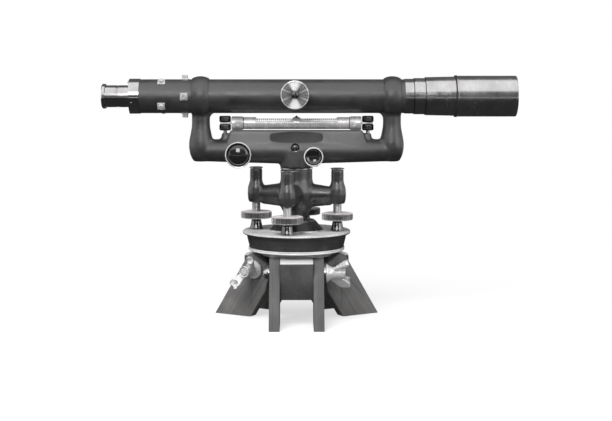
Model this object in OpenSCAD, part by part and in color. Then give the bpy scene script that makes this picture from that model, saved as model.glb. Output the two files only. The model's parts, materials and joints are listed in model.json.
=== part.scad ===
// Dumpy level with an erecting telescope on a tubular-bar frame, four levelling screws, and the
// tripod head with the tops of its three split legs.
// X runs along the telescope towards the objective, -Y is the side with the knobs, Z is up.
// The origin is on the vertical axis, at the mouth of the plumb-bob bore under the tripod head.

/* [Telescope] */
// Height of the line of sight above the origin
sight_z = 186; // [180:0.5:192]
// Outer radius of the main tube
tube_r = 16.8; // [16.4:0.1:17.6]
// Wall of the main tube
tube_wall = 1.6; // [1.2:0.1:1.9]
// Length of the main tube behind its rear collar
tail_l = 49.9; // [46:0.1:56]
// Width of the plain end ring at the front of the main tube
end_ring_w = 8.8; // [6:0.2:10]
// Wall of the focusing slide
slide_wall = 1; // [0.7:0.1:1.4]
// Travel of the focusing slide, from far to near focus
slide_travel = 25; // [15:1:28]
// Length of the focusing slide behind its collar
slide_l = 172; // [160:1:180]
// Width of the collar on the focusing slide
slide_collar_w = 11.2; // [8:0.2:14]
// Step from the main tube up to the collar on the focusing slide
slide_collar_step = 1.2; // [0.8:0.1:1.8]
// Radius of the objective cell at its rear
cell_rear_r = 18.9; // [18.4:0.1:19.2]
// Radius of the objective cell at its front
cell_front_r = 19.5; // [19.4:0.1:19.9]
// Length of the objective cell that shows
cell_l = 29.3; // [26:0.1:36]
// Length of the sunshade that stays on its spigot when it is slipped out
spigot_grip = 3.5; // [2:0.1:6]
// Radius of the objective glass
lens_r = 15.6; // [14:0.1:16]
// Thickness of the crown and flint glasses together
lens_t = 7; // [5:0.5:9]
// Length of the sunshade
shade_l = 61.3; // [50:0.1:80]
// Wall of the sunshade
shade_wall = 0.9; // [0.7:0.1:1.3]
// Length of the rolled lip at the sunshade's rear
shade_lip_l = 2.4; // [1.5:0.1:4]
// Slip of the sunshade along its spigot
shade_slip = 9; // [5:0.5:10]

/* [Eyepiece] */
// Radius of the ring that closes the rear of the tube
head_ring_r = 17.4; // [17:0.1:18]
// Width of that ring
head_ring_w = 10.2; // [8:0.2:13]
// Radius of the eyepiece barrel
barrel_r = 10.9; // [10:0.1:11.6]
// Wall of the eyepiece barrel
barrel_wall = 1.3; // [1:0.1:1.8]
// Length of the barrel outside the ring
barrel_out = 23.7; // [20:0.1:28]
// Length of the barrel that stays inside the ring when it is drawn out
barrel_hold = 9; // [6:0.5:11]
// Radius of the eye cap
cap_r = 12.3; // [11.8:0.1:13.2]
// Thickness of the eye cap
cap_t = 3.8; // [3:0.1:6]
// Travel of the eyepiece, drawn out by its spiral
eye_travel = 6; // [3:0.5:9]
// Distance from the rear collar to the cross-hair ring
hair_gap = 5.3; // [4.6:0.1:8]
// Distance from the rear of the tube to the centring screws
centring_in = 22.1; // [19:0.1:24]
// Turn of the centring screws from the top of the tube
centring_turn = 34; // [20:1:70]
// Radius of the cross-hair ring
hair_ring_r = 12.4; // [11.4:0.1:13]
// Width of the square plates under the centring screws
centring_plate = 7.4; // [6:0.2:8]
// Thickness of those plates
centring_plate_t = 1.2; // [0.8:0.1:1.6]
// Radius of the heads of the adjusting screws on the tube
adjuster_r = 2.9; // [2.4:0.1:3.2]
// Height of the heads of the cross-hair screws
adjuster_h = 3.8; // [3.2:0.1:4.4]
// Length of the erecting-lens tube
erector_l = 30; // [24:0.5:32]

/* [Focusing pinion] */
// Distance of the pinion behind the vertical axis
pinion_x = 1.6; // [0:0.1:4]
// Height of the pinion above the line of sight
pinion_dz = 2; // [1.5:0.1:2.5]
// Gear module of the rack and pinion
gear_m = 0.8; // [0.7:0.05:0.85]
// Number of pinion teeth
pinion_teeth = 12; // [11:1:12]
// Face width of the pinion
pinion_w = 4.2; // [3:0.1:4.6]
// Radius of the focusing knob
focus_r = 13.9; // [12:0.1:15]
// Thickness of the focusing knob
focus_t = 4.6; // [3.5:0.1:6]
// Distance of the knob's face in front of the vertical plane of the telescope
focus_face = 32; // [30.5:0.5:36]

/* [Frame casting] */
// Distance of each post from the vertical axis
post_x = 95.3; // [94:0.1:98]
// Radius of each post
post_r = 9; // [8:0.1:10]
// Radius of the collars round the telescope
collar_r = 20; // [19:0.1:22]
// Width of each collar
collar_w = 20.4; // [18:0.2:22]
// Height of the tubular bar
bar_z = 132; // [131:0.5:134]
// Radius of the bar at its ends
bar_end_r = 10.9; // [10.2:0.1:11.6]
// Radius of the bar at the vertical axis
bar_mid_r = 13.8; // [13.2:0.1:14.6]
// Radius of the elbows where the posts meet the bar
elbow_r = 12.1; // [11.4:0.1:12.6]
// Radius of the frame window's corners
window_r = 6; // [3:0.5:8]
// Thickness of the web along its top edge
web_t = 17; // [15:0.5:18]
// Thickness of the web where it runs into the bar
web_foot_t = 22; // [20:0.5:23]
// Height of the web's top edge above the middle of the bar
web_h = 20.2; // [18.5:0.1:20.6]
// Radius of the boss on the vertical axis
boss_r = 16.5; // [16.1:0.1:17.5]
// Length of the badge recess
badge_l = 52.7; // [40:0.1:60]
// Height of the badge recess
badge_h = 9.8; // [8:0.1:10.4]
// Depth of the badge recess
badge_depth = 0.9; // [0.5:0.1:1.5]

/* [Spirit level] */
// Height of the spirit level's middle above the web
level_gap = 7.1; // [7:0.1:7.5]
// Radius of the spirit level's tube
level_r = 5.9; // [5.5:0.1:6]
// Radius of its end caps
level_cap_r = 6.7; // [6.3:0.1:6.9]
// Half length over the end caps
level_half = 64.6; // [62:0.2:65]
// Length of each end cap
level_cap_l = 11.6; // [9:0.2:13]
// Radius of the glass vial
vial_r = 4.5; // [4:0.1:4.8]
// Half length of the sighting cut-out
sight_half = 41; // [35:0.5:46]
// Distance of the adjusting studs beyond the end caps
stud_gap = 6.6; // [6.2:0.1:7.4]
// Radius of the adjusting studs
stud_r = 1.9; // [1.5:0.1:2.2]
// Radius of the capstan nuts
capstan_r = 5.4; // [4.8:0.1:5.6]

/* [Clamp and slow motion] */
// Distance of the clamp screw from the vertical axis
clamp_x = 16.8; // [16:0.1:17.4]
// Height of the clamp screw
clamp_z = 127; // [126:0.2:127.6]
// Radius of the clamp knob
clamp_r = 9.7; // [8.5:0.1:11]
// Distance of the slow-motion screw from the vertical axis
tangent_x = 57.3; // [55:0.1:60]
// Height of the slow-motion screw
tangent_z = 129; // [128.6:0.1:130]
// Radius of the slow-motion knob
tangent_r = 12.9; // [11:0.1:14]
// Radius of the slow-motion screw
tangent_screw_r = 2.8; // [2.4:0.1:3.2]
// Thickness of the clamp arm behind the bar
arm_t = 6; // [5:0.2:7]
// Distance from the vertical plane of the telescope to the arm
arm_y = 16; // [15.6:0.1:17]
// Radius of the spring box behind the arm
spring_box_r = 5.6; // [5:0.1:6]

/* [Vertical axis] */
// Radius of the spindle at the top of its cone
spindle_top_r = 7.4; // [7:0.1:7.8]
// Radius of the spindle at its foot
spindle_foot_r = 5.2; // [4.8:0.1:5.6]
// Height of the socket's top flange
socket_z = 114; // [113.4:0.1:114.4]
// Radius of the socket column
socket_r = 15.9; // [15:0.1:16.4]

/* [Levelling head] */
// Distance of the levelling screws from the vertical axis
screw_circle = 41.7; // [40.5:0.1:42.5]
// Turn of the four arms about the vertical axis
head_turn = -12.4; // [-20:0.1:0]
// Radius of the levelling screws
screw_r = 4.1; // [3.8:0.1:4.4]
// Radius of the knurled discs
disc_r = 15.6; // [14:0.1:16]
// Thickness of the knurled discs
disc_t = 6.8; // [5.5:0.1:7.2]
// Height of the discs' middle
disc_z = 66.7; // [66.5:0.1:67]
// Radius of the upper screw posts
screw_post_r = 6.3; // [5.8:0.1:6.6]
// Radius of the bosses at the arm ends
arm_boss_r = 8.8; // [8.2:0.1:9.4]
// Radius of the half ball
ball_r = 9.5; // [9:0.1:10]
// Height of the half ball's centre
ball_z = 56; // [55.8:0.1:56.2]

/* [Foot plate] */
// Height of the foot plate's top
plate_z = 52; // [51.8:0.1:52.1]
// Radius of the foot plate's lip
plate_r = 54.3; // [52:0.1:57]
// Thickness of the lip
plate_lip = 3; // [2:0.1:4]
// Radius of the skirt under the lip
skirt_top_r = 50.3; // [49:0.1:51.5]
// Radius of the skirt at its foot
skirt_foot_r = 47.3; // [46.6:0.1:48.2]
// Height of the skirt's foot
skirt_z = 32.6; // [32.5:0.1:33]
// Radius of the tripod thread, for a 3 1/2 inch head
thread_r = 44.45; // [43.6:0.05:44.8]

/* [Tripod] */
// Height of the leg bolts
bolt_z = 13; // [12:0.1:13.2]
// Distance of the leg bolts from the vertical axis
bolt_x = 33; // [32.6:0.1:33.4]
// Radius of the leg bolts
bolt_r = 4; // [3.5:0.1:4.5]
// Width of the head's lugs
lug_w = 32; // [30:0.2:32.2]
// Reach of the lugs from the vertical axis
lug_reach = 52; // [49:0.5:54]
// Height of the lugs' tops
lug_top = 27.8; // [26.6:0.1:28.4]
// Height of the lugs' undersides
lug_foot = -10.5; // [-14:0.5:-8]
// Thickness of each leg board
board_t = 10.4; // [9:0.1:11]
// Width of each leg board
board_w = 36; // [34:0.5:38]
// Distance from the bolt to the outer edge of a board
board_edge = 14.5; // [13.5:0.1:15]
// Span of a wing nut over its wings
wing_span = 37.4; // [33:0.2:38]
// Radius of a wing nut's hub at its foot
wing_hub_r = 9.4; // [9:0.1:9.8]
// Radius of the washers under the wing nuts
washer_r = 9.4; // [9:0.1:9.8]
// Thickness of those washers
washer_t = 1.6; // [1.2:0.1:2]
// Splay of the legs from the vertical
splay = 32.4; // [31:0.1:33.4]
// Swing of a leg inwards from its stand, in degrees
leg_fold = 15; // [8:1:18]
// Length of a board above its bolt
board_top = 12.5; // [11:0.1:13]
// Drop from the origin to the level at which the legs are cut
leg_drop = 36; // [30:1:60]
// Radius of the plumb-bob bore
plumb_r = 3.2; // [2.5:0.1:4]
// Depth of the plumb-bob bore
plumb_depth = 12; // [8:0.5:16]

/* [Hidden] */
$fn = 96;
eps = 0.02;
long = 60;
// Running clearance between turned pieces, free clearance between moving pieces
run = 0.1;
free = 0.3;
legs = [-90, 30, 150];
screws = [180, 0, -90, 90];
tube_in_r = tube_r - tube_wall;
tube_rear = post_x + collar_w / 2 + tail_l;
tube_front = post_x + collar_w / 2 + 2.1;
hair_x = post_x + collar_w / 2 + hair_gap;
centring_x = tube_rear - centring_in;
adjuster_hole_r = adjuster_r - 1.4;
erector_bore_r = hair_ring_r - 3.4;
slide_r = tube_in_r - free;
slide_in_r = slide_r - slide_wall;
slide_collar_r = tube_r + slide_collar_step;
slide_front = tube_front + end_ring_w + free + slide_collar_w;
cell_front = slide_front + cell_l;
spigot_front = cell_front + shade_slip + spigot_grip;
spigot_r = cell_front_r - 0.4;
shade_in_r = spigot_r + free;
shade_r = shade_in_r + shade_wall;
shade_front = cell_front + shade_l;
head_ring_rear = tube_rear + head_ring_w;
barrel_rear = head_ring_rear + barrel_out;
barrel_in = barrel_hold + eye_travel;
pinion_z = sight_z + pinion_dz;
pitch_r = gear_m * pinion_teeth / 2;
gear_pitch = PI * gear_m;
pinion_out = slide_in_r - 0.4;
pinion_bush_r = 6.9;
pinion_shaft_r = 2.2;
lens_curve_r = 90;
rack_top = pinion_z - pitch_r + 0.7 * gear_m;
bush_in = tube_in_r + run;
bush_out = tube_r + 4.7;
collar_half = collar_w / 2;
bulge_r = 17.4;
boss_foot = socket_z + 1;
cavity_r = boss_r - 1.6;
cavity_top = boss_foot + 9.4;
spindle_bed = 12;
neck_r = 10.2;
web_z = bar_z + web_h;
level_z = web_z + level_gap;
stud_x = level_half + stud_gap;
web_half = level_half + 0.4;
web_lean = atan((web_foot_t - web_t) / 2 / (web_h - 4));
badge_z = web_z - 7;
collar_in_r = neck_r + 0.15;
collar_out_r = cavity_r - 0.5;
collar_foot = boss_foot + 1;
collar_top = collar_foot + 7;
arm_foot = collar_top - 4;
ear_w = 10.6;
ear_t = 9;
ear_top = clamp_z + 4;
knob_gap = 3.2;
arm_lug_w = 10;
bracket_w = 12;
bracket_l = 10;
bracket_t = 4.6;
bracket_z = tangent_z + 6.4;
spring_box_y = arm_y + arm_t + 3.4;
spring_box_l = 14;
spring_r = 4.3;
plunger_r = 2.6;
badge_screw_x = -1.3;
badge_screw_z = bar_z + 3.5;
badge_screw_r = 2;
badge_head_r = 4.6;
nut_h = 3.8;
nut_seat = 1.5;
fillet_t = 12;
slow_travel = 2.5;
spindle_foot_z = ball_z + 12;
hub_foot = plate_z + 11.3;
stem_r = 4;
arm_start = 9;
cone_r = 27.5;
cone_top_r = 18;
cone_h = 10.5;
disc_foot = disc_z - disc_t / 2;
shoe_h = 10.2;
post_top = boss_foot - 1.4;
board_in = lug_w / 2 + free;
board_out = board_in + board_t;
board_in_edge = board_edge - board_w;
board_corner = 7;
fold_room = bolt_x - board_out / tan(60) - free;
leg_open = 1;
bolt_head_r = bolt_r + 2.6;
nut_y = board_out + washer_t + 2 * free;
nut_l = 14.5;
hub_r = 20;
head_neck_r = 30;
lug_corner = 5;
thread_foot = skirt_z + 0.4;
plate_t = 5.7;
plate_bore_r = 12;
thread_top = plate_z - plate_t - free;
ball_well_r = ball_r + 6;

module along_x() rotate([0, 90, 0]) children();
module along_y() rotate([-90, 0, 0]) children();
module on_sight() translate([0, 0, sight_z]) along_x() children();

// A pipe round the line of sight, from x0 to x1
module sleeve(r_out, r_in, x0, x1) {
    on_sight() difference() {
        translate([0, 0, x0]) cylinder(r = r_out, h = x1 - x0);
        translate([0, 0, x0 - 1]) cylinder(r = r_in, h = x1 - x0 + 2);
    }
}

// A cylinder along Y through x and z, from y0 to y1
module pin_y(x, z, r, y0, y1) {
    translate([x, y0, z]) along_y() cylinder(r = r, h = y1 - y0);
}

module at_leg(i) rotate([0, 0, legs[i]]) children();
module at_screw(i) rotate([0, 0, head_turn + screws[i]]) translate([screw_circle, 0, 0]) children();

// Side of a lug, with its top outer corner rounded
module lug_side() {
    near = hub_r - 6;
    translate([near, lug_foot]) square([lug_reach - near - lug_corner, lug_top - lug_foot]);
    translate([near, lug_foot]) square([lug_reach - near, lug_top - lug_foot - lug_corner]);
    translate([lug_reach - lug_corner, lug_top - lug_corner]) circle(r = lug_corner);
}

module tripod_head() color([0.2, 0.2, 0.21]) difference() {
    union() {
        cylinder(r = hub_r, h = lug_top);
        translate([0, 0, lug_top - 2]) cylinder(r = head_neck_r, h = thread_foot + 3 - lug_top);
        translate([0, 0, thread_foot]) cylinder(r = thread_r - run, h = thread_top - thread_foot);
        for (i = [0:2]) at_leg(i) translate([0, lug_w / 2, 0]) rotate([90, 0, 0])
            linear_extrude(height = lug_w) lug_side();
    }
    for (i = [0:2]) at_leg(i) pin_y(bolt_x, bolt_z, bolt_r + run, -lug_w, lug_w);
    translate([0, 0, lug_top - 4]) cylinder(r = ball_well_r, h = long);
    translate([0, 0, -1]) cylinder(r = plumb_r, h = plumb_depth + 1);
}

module leg_bolt() {
    head_y = -board_out - 0.2;
    pin_y(bolt_x, bolt_z, bolt_r, head_y, nut_y + nut_l - 2);
    difference() {
        translate([bolt_x, head_y, bolt_z]) sphere(r = bolt_head_r);
        pin_y(bolt_x, bolt_z, long, head_y, head_y + long);
    }
}

module leg_bolts() color([0.75, 0.75, 0.76]) for (i = [0:2]) at_leg(i) leg_bolt();

// Where a board's inner edge clears the next leg, s down from the bolt, at a lean from the vertical
function fold_edge(s, lean) = (-fold_room - s * sin(lean)) / cos(lean);
function fold_start(u, lean) = (-fold_room - u * cos(lean)) / sin(lean);

// Outline of a board: outwards across it and down it, both from the bolt
module board_outline() {
    cut = (leg_drop + bolt_z) / cos(splay);
    closed = splay - leg_fold;
    opened = splay + leg_open;
    knee = -board_top * 0.6;
    difference() {
        union() {
            polygon([
                [board_edge, board_corner - board_top],
                [board_edge, cut + board_edge * tan(splay)],
                [board_in_edge, cut + board_in_edge * tan(splay)],
                [board_in_edge, fold_start(board_in_edge, closed)],
                [max(fold_edge(knee, closed), fold_edge(knee, opened)), knee],
                [fold_edge(-board_top, opened), -board_top],
                [board_edge - board_corner, -board_top]
            ]);
            translate([board_edge - board_corner, board_corner - board_top]) circle(r = board_corner);
        }
        circle(r = bolt_r + run);
    }
}

module leg_pair(i) color([0.28, 0.27, 0.27]) at_leg(i) {
    for (y = [board_in, -board_out]) {
        translate([bolt_x, y + board_t, bolt_z]) rotate([0, -splay, 0]) rotate([90, 0, 0])
            linear_extrude(height = board_t) mirror([0, 1]) board_outline();
    }
}

module front_leg() leg_pair(0);
module right_leg() leg_pair(1);
module left_leg() leg_pair(2);

module leg_washers() color([0.75, 0.75, 0.76]) for (i = [0:2]) at_leg(i) difference() {
    pin_y(bolt_x, bolt_z, washer_r, board_out + free, board_out + free + washer_t);
    pin_y(bolt_x, bolt_z, bolt_r + run, 0, long);
}

// Wing nut on the bolt's axis, its hub standing outwards and its wings swept out past the hub
module wing_nut(i, turn) color([0.85, 0.85, 0.86]) at_leg(i) {
    reach = wing_span / 2;
    translate([bolt_x, nut_y, bolt_z]) along_y() rotate([0, 0, turn]) difference() {
        union() {
            rotate_extrude() polygon([
                [0, 0], [wing_hub_r, 0], [wing_hub_r, 1.2], [wing_hub_r - 2.4, 3],
                [wing_hub_r - 3.4, 6], [wing_hub_r - 3.6, nut_l - 0.6], [wing_hub_r - 4.2, nut_l],
                [0, nut_l]
            ]);
            for (side = [-1, 1]) hull() {
                translate([side * 0.27 * reach, 0, nut_l - 6]) sphere(r = 0.14 * reach, $fn = 20);
                translate([side * 0.64 * reach, 0, nut_l - 1]) sphere(r = 0.13 * reach, $fn = 20);
                translate([side * 0.83 * reach, 0, nut_l + 5]) sphere(r = 0.17 * reach, $fn = 20);
                translate([side * 0.62 * reach, 0, nut_l + 7]) sphere(r = 0.12 * reach, $fn = 20);
            }
        }
        translate([0, 0, -1]) cylinder(r = bolt_r + run, h = nut_l + 2);
    }
}

module front_wing_nut() wing_nut(0, 25);
module right_wing_nut() wing_nut(1, 70);
module left_wing_nut() wing_nut(2, 50);

module foot_plate() color([0.7, 0.7, 0.71]) rotate_extrude() polygon([
    [plate_bore_r, plate_z], [plate_r - 0.8, plate_z], [plate_r, plate_z - 0.8],
    [plate_r, plate_z - plate_lip + 0.8],
    [plate_r - 0.8, plate_z - plate_lip], [skirt_top_r, plate_z - plate_lip], [skirt_foot_r, skirt_z + 2.6],
    [skirt_foot_r + 0.5, skirt_z + 2.2], [skirt_foot_r + 0.5, skirt_z], [thread_r, skirt_z],
    [thread_r, plate_z - plate_t], [plate_bore_r, plate_z - plate_t]
]);

module ball_cap() color([0.12, 0.12, 0.13]) difference() {
    translate([0, 0, plate_z]) union() {
        cylinder(r = cone_r, h = 1.2);
        translate([0, 0, 1.2 - eps]) cylinder(r1 = cone_r - 1, r2 = cone_top_r + 1, h = cone_h - 2);
        translate([0, 0, cone_h - 0.8 - 2 * eps]) cylinder(r1 = cone_top_r + 1, r2 = cone_top_r, h = 0.8);
    }
    translate([0, 0, ball_z]) sphere(r = ball_r + run);
    translate([0, 0, plate_z - 1]) cylinder(r = ball_r + run - 0.6, h = 4);
    translate([0, 0, ball_z]) cylinder(r = ball_r - 1.6, h = 20);
}

module half_ball() color([0.7, 0.68, 0.6]) difference() {
    intersection() {
        translate([0, 0, ball_z]) sphere(r = ball_r);
        translate([0, 0, plate_z - 5.5]) cylinder(r = 20, h = 10.5);
    }
    translate([0, 0, plate_z - 8]) cylinder(r = stem_r + 0.6, h = 30);
}

module levelling_shoes() color([0.85, 0.85, 0.86]) for (i = [0:3]) at_screw(i)
    translate([0, 0, plate_z]) difference() {
        rotate_extrude() polygon([
            [0, 0], [6.3, 0], [6.5, 1.2], [6, 4.5], [5.4, 7.5], [4.8, 9.4], [4.2, shoe_h], [0, shoe_h]
        ]);
        translate([0, 0, 1.6]) cylinder(r = 3.8, h = 20);
    }

module levelling_head() color([0.22, 0.22, 0.23]) difference() {
    union() {
        rotate_extrude() polygon([
            [0, plate_z - 3.5], [stem_r, plate_z - 3.5], [stem_r, hub_foot], [8, hub_foot],
            [11, hub_foot + 4], [14.5, hub_foot + 9], [17, hub_foot + 14],
            [18.6, hub_foot + 20], [19, hub_foot + 28], [17.6, hub_foot + 34], [16.2, hub_foot + 38],
            [socket_r, hub_foot + 41], [socket_r, socket_z - 0.2], [neck_r, socket_z - 0.2],
            [neck_r, collar_top + 0.6], [0, collar_top + 0.6]
        ]);
        for (i = [0:3]) rotate([0, 0, head_turn + screws[i]]) {
            translate([arm_start, 0, hub_foot + 25.5]) along_x()
                cylinder(r1 = 11.3, r2 = 6.6, h = screw_circle - arm_start);
            translate([screw_circle, 0, 0]) rotate_extrude() polygon([
                [0, hub_foot + 16], [7.2, hub_foot + 16], [arm_boss_r - 0.6, hub_foot + 19],
                [arm_boss_r, hub_foot + 25], [arm_boss_r - 0.4, hub_foot + 31],
                [screw_post_r, hub_foot + 38], [screw_post_r, post_top], [0, post_top]
            ]);
        }
    }
    translate([0, 0, spindle_foot_z - 1]) cylinder(r = spindle_foot_r + run, h = 1 + eps);
    translate([0, 0, spindle_foot_z]) cylinder(
        r1 = spindle_foot_r + run, r2 = spindle_top_r + run, h = collar_top + 0.7 - spindle_foot_z);
    for (i = [0:3]) at_screw(i) translate([0, 0, hub_foot + 10]) cylinder(r = screw_r + 0.2, h = 60);
}

module socket_ring() color([0.85, 0.85, 0.86]) difference() {
    translate([0, 0, socket_z - 0.2]) cylinder(r = socket_r + 0.5, h = 0.9);
    translate([0, 0, socket_z - 1]) cylinder(r = neck_r + 0.05, h = 3);
}

module dust_caps() color([0.85, 0.85, 0.86]) for (i = [0:3]) at_screw(i)
    translate([0, 0, post_top]) rotate_extrude() polygon([
        [0, 0], [screw_post_r, 0], [screw_post_r + 0.5, 0.2], [screw_post_r + 0.5, 1],
        [screw_post_r - 0.4, 1.5], [0, 1.5]
    ]);

module levelling_screw(i) color([0.8, 0.8, 0.8]) at_screw(i) {
    thread_foot = disc_foot - 0.6;
    translate([0, 0, thread_foot]) cylinder(r = screw_r, h = post_top - 6 - thread_foot);
    translate([0, 0, plate_z + 4]) cylinder(r = 3, h = thread_foot - plate_z - 4 + eps);
    translate([0, 0, plate_z + 5.4]) sphere(r = 3.5);
}

module screw_a() levelling_screw(0);
module screw_b() levelling_screw(1);
module screw_c() levelling_screw(2);
module screw_d() levelling_screw(3);

module levelling_disc(i) color([0.7, 0.7, 0.71]) at_screw(i)
    translate([0, 0, disc_foot]) rotate_extrude() polygon([
        [screw_r + run, 0], [disc_r - 1, 0], [disc_r, 0.7], [disc_r, disc_t - 0.7], [disc_r - 1, disc_t],
        [screw_r + run, disc_t]
    ]);

module disc_a() levelling_disc(0);
module disc_b() levelling_disc(1);
module disc_c() levelling_disc(2);
module disc_d() levelling_disc(3);

module clamp_collar() color([0.6, 0.6, 0.6]) difference() {
    union() {
        translate([0, 0, collar_foot]) cylinder(r = collar_out_r, h = collar_top - collar_foot);
        translate([10.4, -ear_t / 2, collar_foot]) cube([ear_w, ear_t, ear_top - collar_foot]);
        translate([-4, 11, arm_foot]) cube([8, arm_y + arm_t - 11, collar_top - arm_foot]);
        translate([-tangent_x - arm_lug_w / 2, arm_y, arm_foot])
            cube([tangent_x + arm_lug_w / 2 + 4, arm_t, collar_top - arm_foot]);
        translate([-tangent_x - arm_lug_w / 2, arm_y, arm_foot])
            cube([arm_lug_w, arm_t, tangent_z + 5 - arm_foot]);
    }
    translate([0, 0, collar_foot - 1]) cylinder(r = collar_in_r, h = 30);
    translate([neck_r - 2, -0.5, collar_foot - 1]) cube([30, 1, 30]);
    pin_y(clamp_x, clamp_z, 2.5 + run, -20, 20);
}

module clamp_knob() color([0.15, 0.15, 0.16]) {
    face = bar_mid_r + knob_gap;
    pin_y(clamp_x, clamp_z, 2.5, -face - 2, ear_t / 2 - 0.5);
    translate([clamp_x, -face, clamp_z]) rotate([90, 0, 0]) rotate_extrude() polygon([
        [0, 0], [5, 0], [clamp_r - 1.4, 1.8], [clamp_r, 3.2], [clamp_r, 8], [clamp_r - 1, 8.6],
        [clamp_r - 1.6, 7.6], [4, 5.6], [0, 5.2]
    ]);
}

module spindle() color([0.75, 0.72, 0.6]) {
    translate([0, 0, spindle_foot_z]) cylinder(
        r1 = spindle_foot_r, r2 = spindle_top_r, h = cavity_top - spindle_foot_z);
    translate([0, 0, cavity_top]) cylinder(r = spindle_top_r, h = 12);
}

module collar_bulge(x) on_sight() translate([0, 0, x]) rotate_extrude() difference() {
    translate([collar_r - bulge_r, 0]) circle(r = bulge_r);
    translate([-40, -40]) square([40, 80]);
    translate([-40, collar_half]) square([80, 40]);
    translate([-40, -40 - collar_half]) square([80, 40]);
}

// Turned bulb where a post runs down into the end of the bar
module elbow() rotate_extrude() polygon([
    [0, -bar_end_r], [elbow_r - 4.9, -bar_end_r], [elbow_r - 2.6, 3.2 - bar_end_r],
    [elbow_r - 0.9, -3], [elbow_r - 0.1, 2], [elbow_r, 5], [elbow_r - 0.2, 9],
    [elbow_r - 0.9, 13], [post_r + 1.2, 18], [post_r + 0.4, 22], [post_r, 26], [0, 26]
]);

// Fillet of radius r in a corner of the window; the corner is at the origin
module window_fillet(r) translate([0, fillet_t / 2, 0]) rotate([90, 0, 0])
    linear_extrude(height = fillet_t) difference() {
        translate([-2, -2]) square(r + 2);
        translate([r, r]) circle(r = r);
    }

// Web over the bar: its side outline, leaned in from the bar to the top edge
module web() intersection() {
    translate([0, web_foot_t / 2, 0]) rotate([90, 0, 0]) linear_extrude(height = web_foot_t) polygon([
        [-web_half, web_z], [web_half, web_z], [web_half + 1.4, web_z - 1], [web_half + 2.8, web_z - 7],
        [web_half + 4.4, web_z - 11], [web_half + 4.4, bar_z], [-web_half - 4.4, bar_z],
        [-web_half - 4.4, web_z - 11], [-web_half - 2.8, web_z - 7], [-web_half - 1.4, web_z - 1]
    ]);
    rotate([90, 0, 90]) translate([0, 0, -web_half - 6]) linear_extrude(height = 2 * web_half + 12)
        polygon([
            [-web_foot_t / 2, bar_z], [web_foot_t / 2, bar_z], [web_foot_t / 2, bar_z + 4],
            [web_t / 2, web_z], [-web_t / 2, web_z], [-web_foot_t / 2, bar_z + 4]
        ]);
}

// Bracket behind the bar that carries the spring box
module spring_bracket() {
    translate([-tangent_x - bracket_w / 2, 0, bracket_z])
        cube([bracket_w, spring_box_y + bracket_l, bracket_t]);
    pin_y(-tangent_x, tangent_z, spring_box_r + 3, spring_box_y, spring_box_y + bracket_l);
    translate([-tangent_x - bracket_w / 2, spring_box_y, tangent_z])
        cube([bracket_w, bracket_l, bracket_z + bracket_t - tangent_z]);
}

// Shape of the badge recess, cut square to the leaning face of the web
module badge_recess() translate([0, (web_z - badge_z) * -tan(web_lean) - web_t / 2, badge_z])
    rotate([-web_lean, 0, 0]) translate([0, -2, 0]) rotate([-90, 0, 0])
    linear_extrude(height = 2 + badge_depth) union() {
        square([badge_l - badge_h, badge_h], center = true);
        for (side = [-1, 1]) translate([side * (badge_l - badge_h) / 2, 0]) circle(r = badge_h / 2);
    }

module frame_casting() color([0.2, 0.2, 0.21]) difference() {
    union() {
        for (side = [-1, 1]) {
            translate([0, 0, bar_z]) rotate([0, side * 90, 0])
                cylinder(r1 = bar_mid_r, r2 = bar_end_r, h = post_x);
            translate([side * post_x, 0, bar_z]) elbow();
            translate([side * post_x, 0, bar_z]) cylinder(r = post_r, h = sight_z - bar_z);
            collar_bulge(side * post_x);
            translate([side * stud_x, 0, bar_z + 8]) cylinder(r1 = stud_r + 3.3, r2 = stud_r + 1.3, h = 9.8);
        }
        for (side = [0, 1]) mirror([side, 0, 0]) {
            translate([post_r - post_x, 0, bar_z + bar_end_r - 0.4]) window_fillet(window_r);
            translate([post_r - post_x, 0, sight_z - tube_r]) mirror([0, 0, 1]) window_fillet(window_r - 1);
        }
        web();
        translate([0, 0, boss_foot]) cylinder(r = boss_r, h = bar_z - boss_foot);
        spring_bracket();
    }
    sleeve_cut();
    translate([0, 0, boss_foot - 1]) cylinder(r = cavity_r, h = cavity_top - boss_foot + 1);
    translate([0, 0, cavity_top - 1]) cylinder(r = spindle_top_r + 0.02, h = spindle_bed + 1);
    translate([9, -ear_t / 2 - 2, boss_foot - 2])
        cube([ear_w + 3, ear_t + 4, ear_top + 1.5 - boss_foot + 2]);
    translate([-7, 0, boss_foot - 2]) cube([14, 40, cavity_top - boss_foot + 1]);
    pin_y(clamp_x, clamp_z, 3.6, -40, 0);
    pin_y(-tangent_x, tangent_z, tangent_screw_r + run, -40, 20);
    pin_y(-tangent_x, tangent_z, spring_box_r + 0.02, spring_box_y - 1, spring_box_y + bracket_l + 10);
    badge_recess();
    for (side = [-1, 1]) translate([side * stud_x, 0, bar_z]) cylinder(r = stud_r, h = 40);
    pin_y(badge_screw_x, badge_screw_z, badge_screw_r, -40, -8);
    pin_y(badge_screw_x, badge_screw_z, badge_head_r, -40, 1 - bar_mid_r);
}

module sleeve_cut() on_sight() translate([0, 0, -post_x - 30]) cylinder(r = tube_r, h = 2 * post_x + 60);

module badge_screw() color([0.3, 0.3, 0.3]) difference() {
    head_y = 1 - bar_mid_r;
    union() {
        pin_y(badge_screw_x, badge_screw_z, badge_screw_r - 0.05, head_y, -8.2);
        pin_y(badge_screw_x, badge_screw_z, badge_head_r - run, head_y - 1.9, head_y);
    }
    translate([badge_screw_x - badge_head_r, head_y - 2.9, badge_screw_z - 0.4])
        cube([2 * badge_head_r, 1.9, 0.8]);
}

module tangent_screw() color([0.8, 0.8, 0.8]) {
    pin_y(-tangent_x, tangent_z, tangent_screw_r, -bar_mid_r - knob_gap - 5, arm_y - 2.4);
    translate([-tangent_x, arm_y - 3.1, tangent_z]) sphere(r = tangent_screw_r - 0.02);
}

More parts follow.
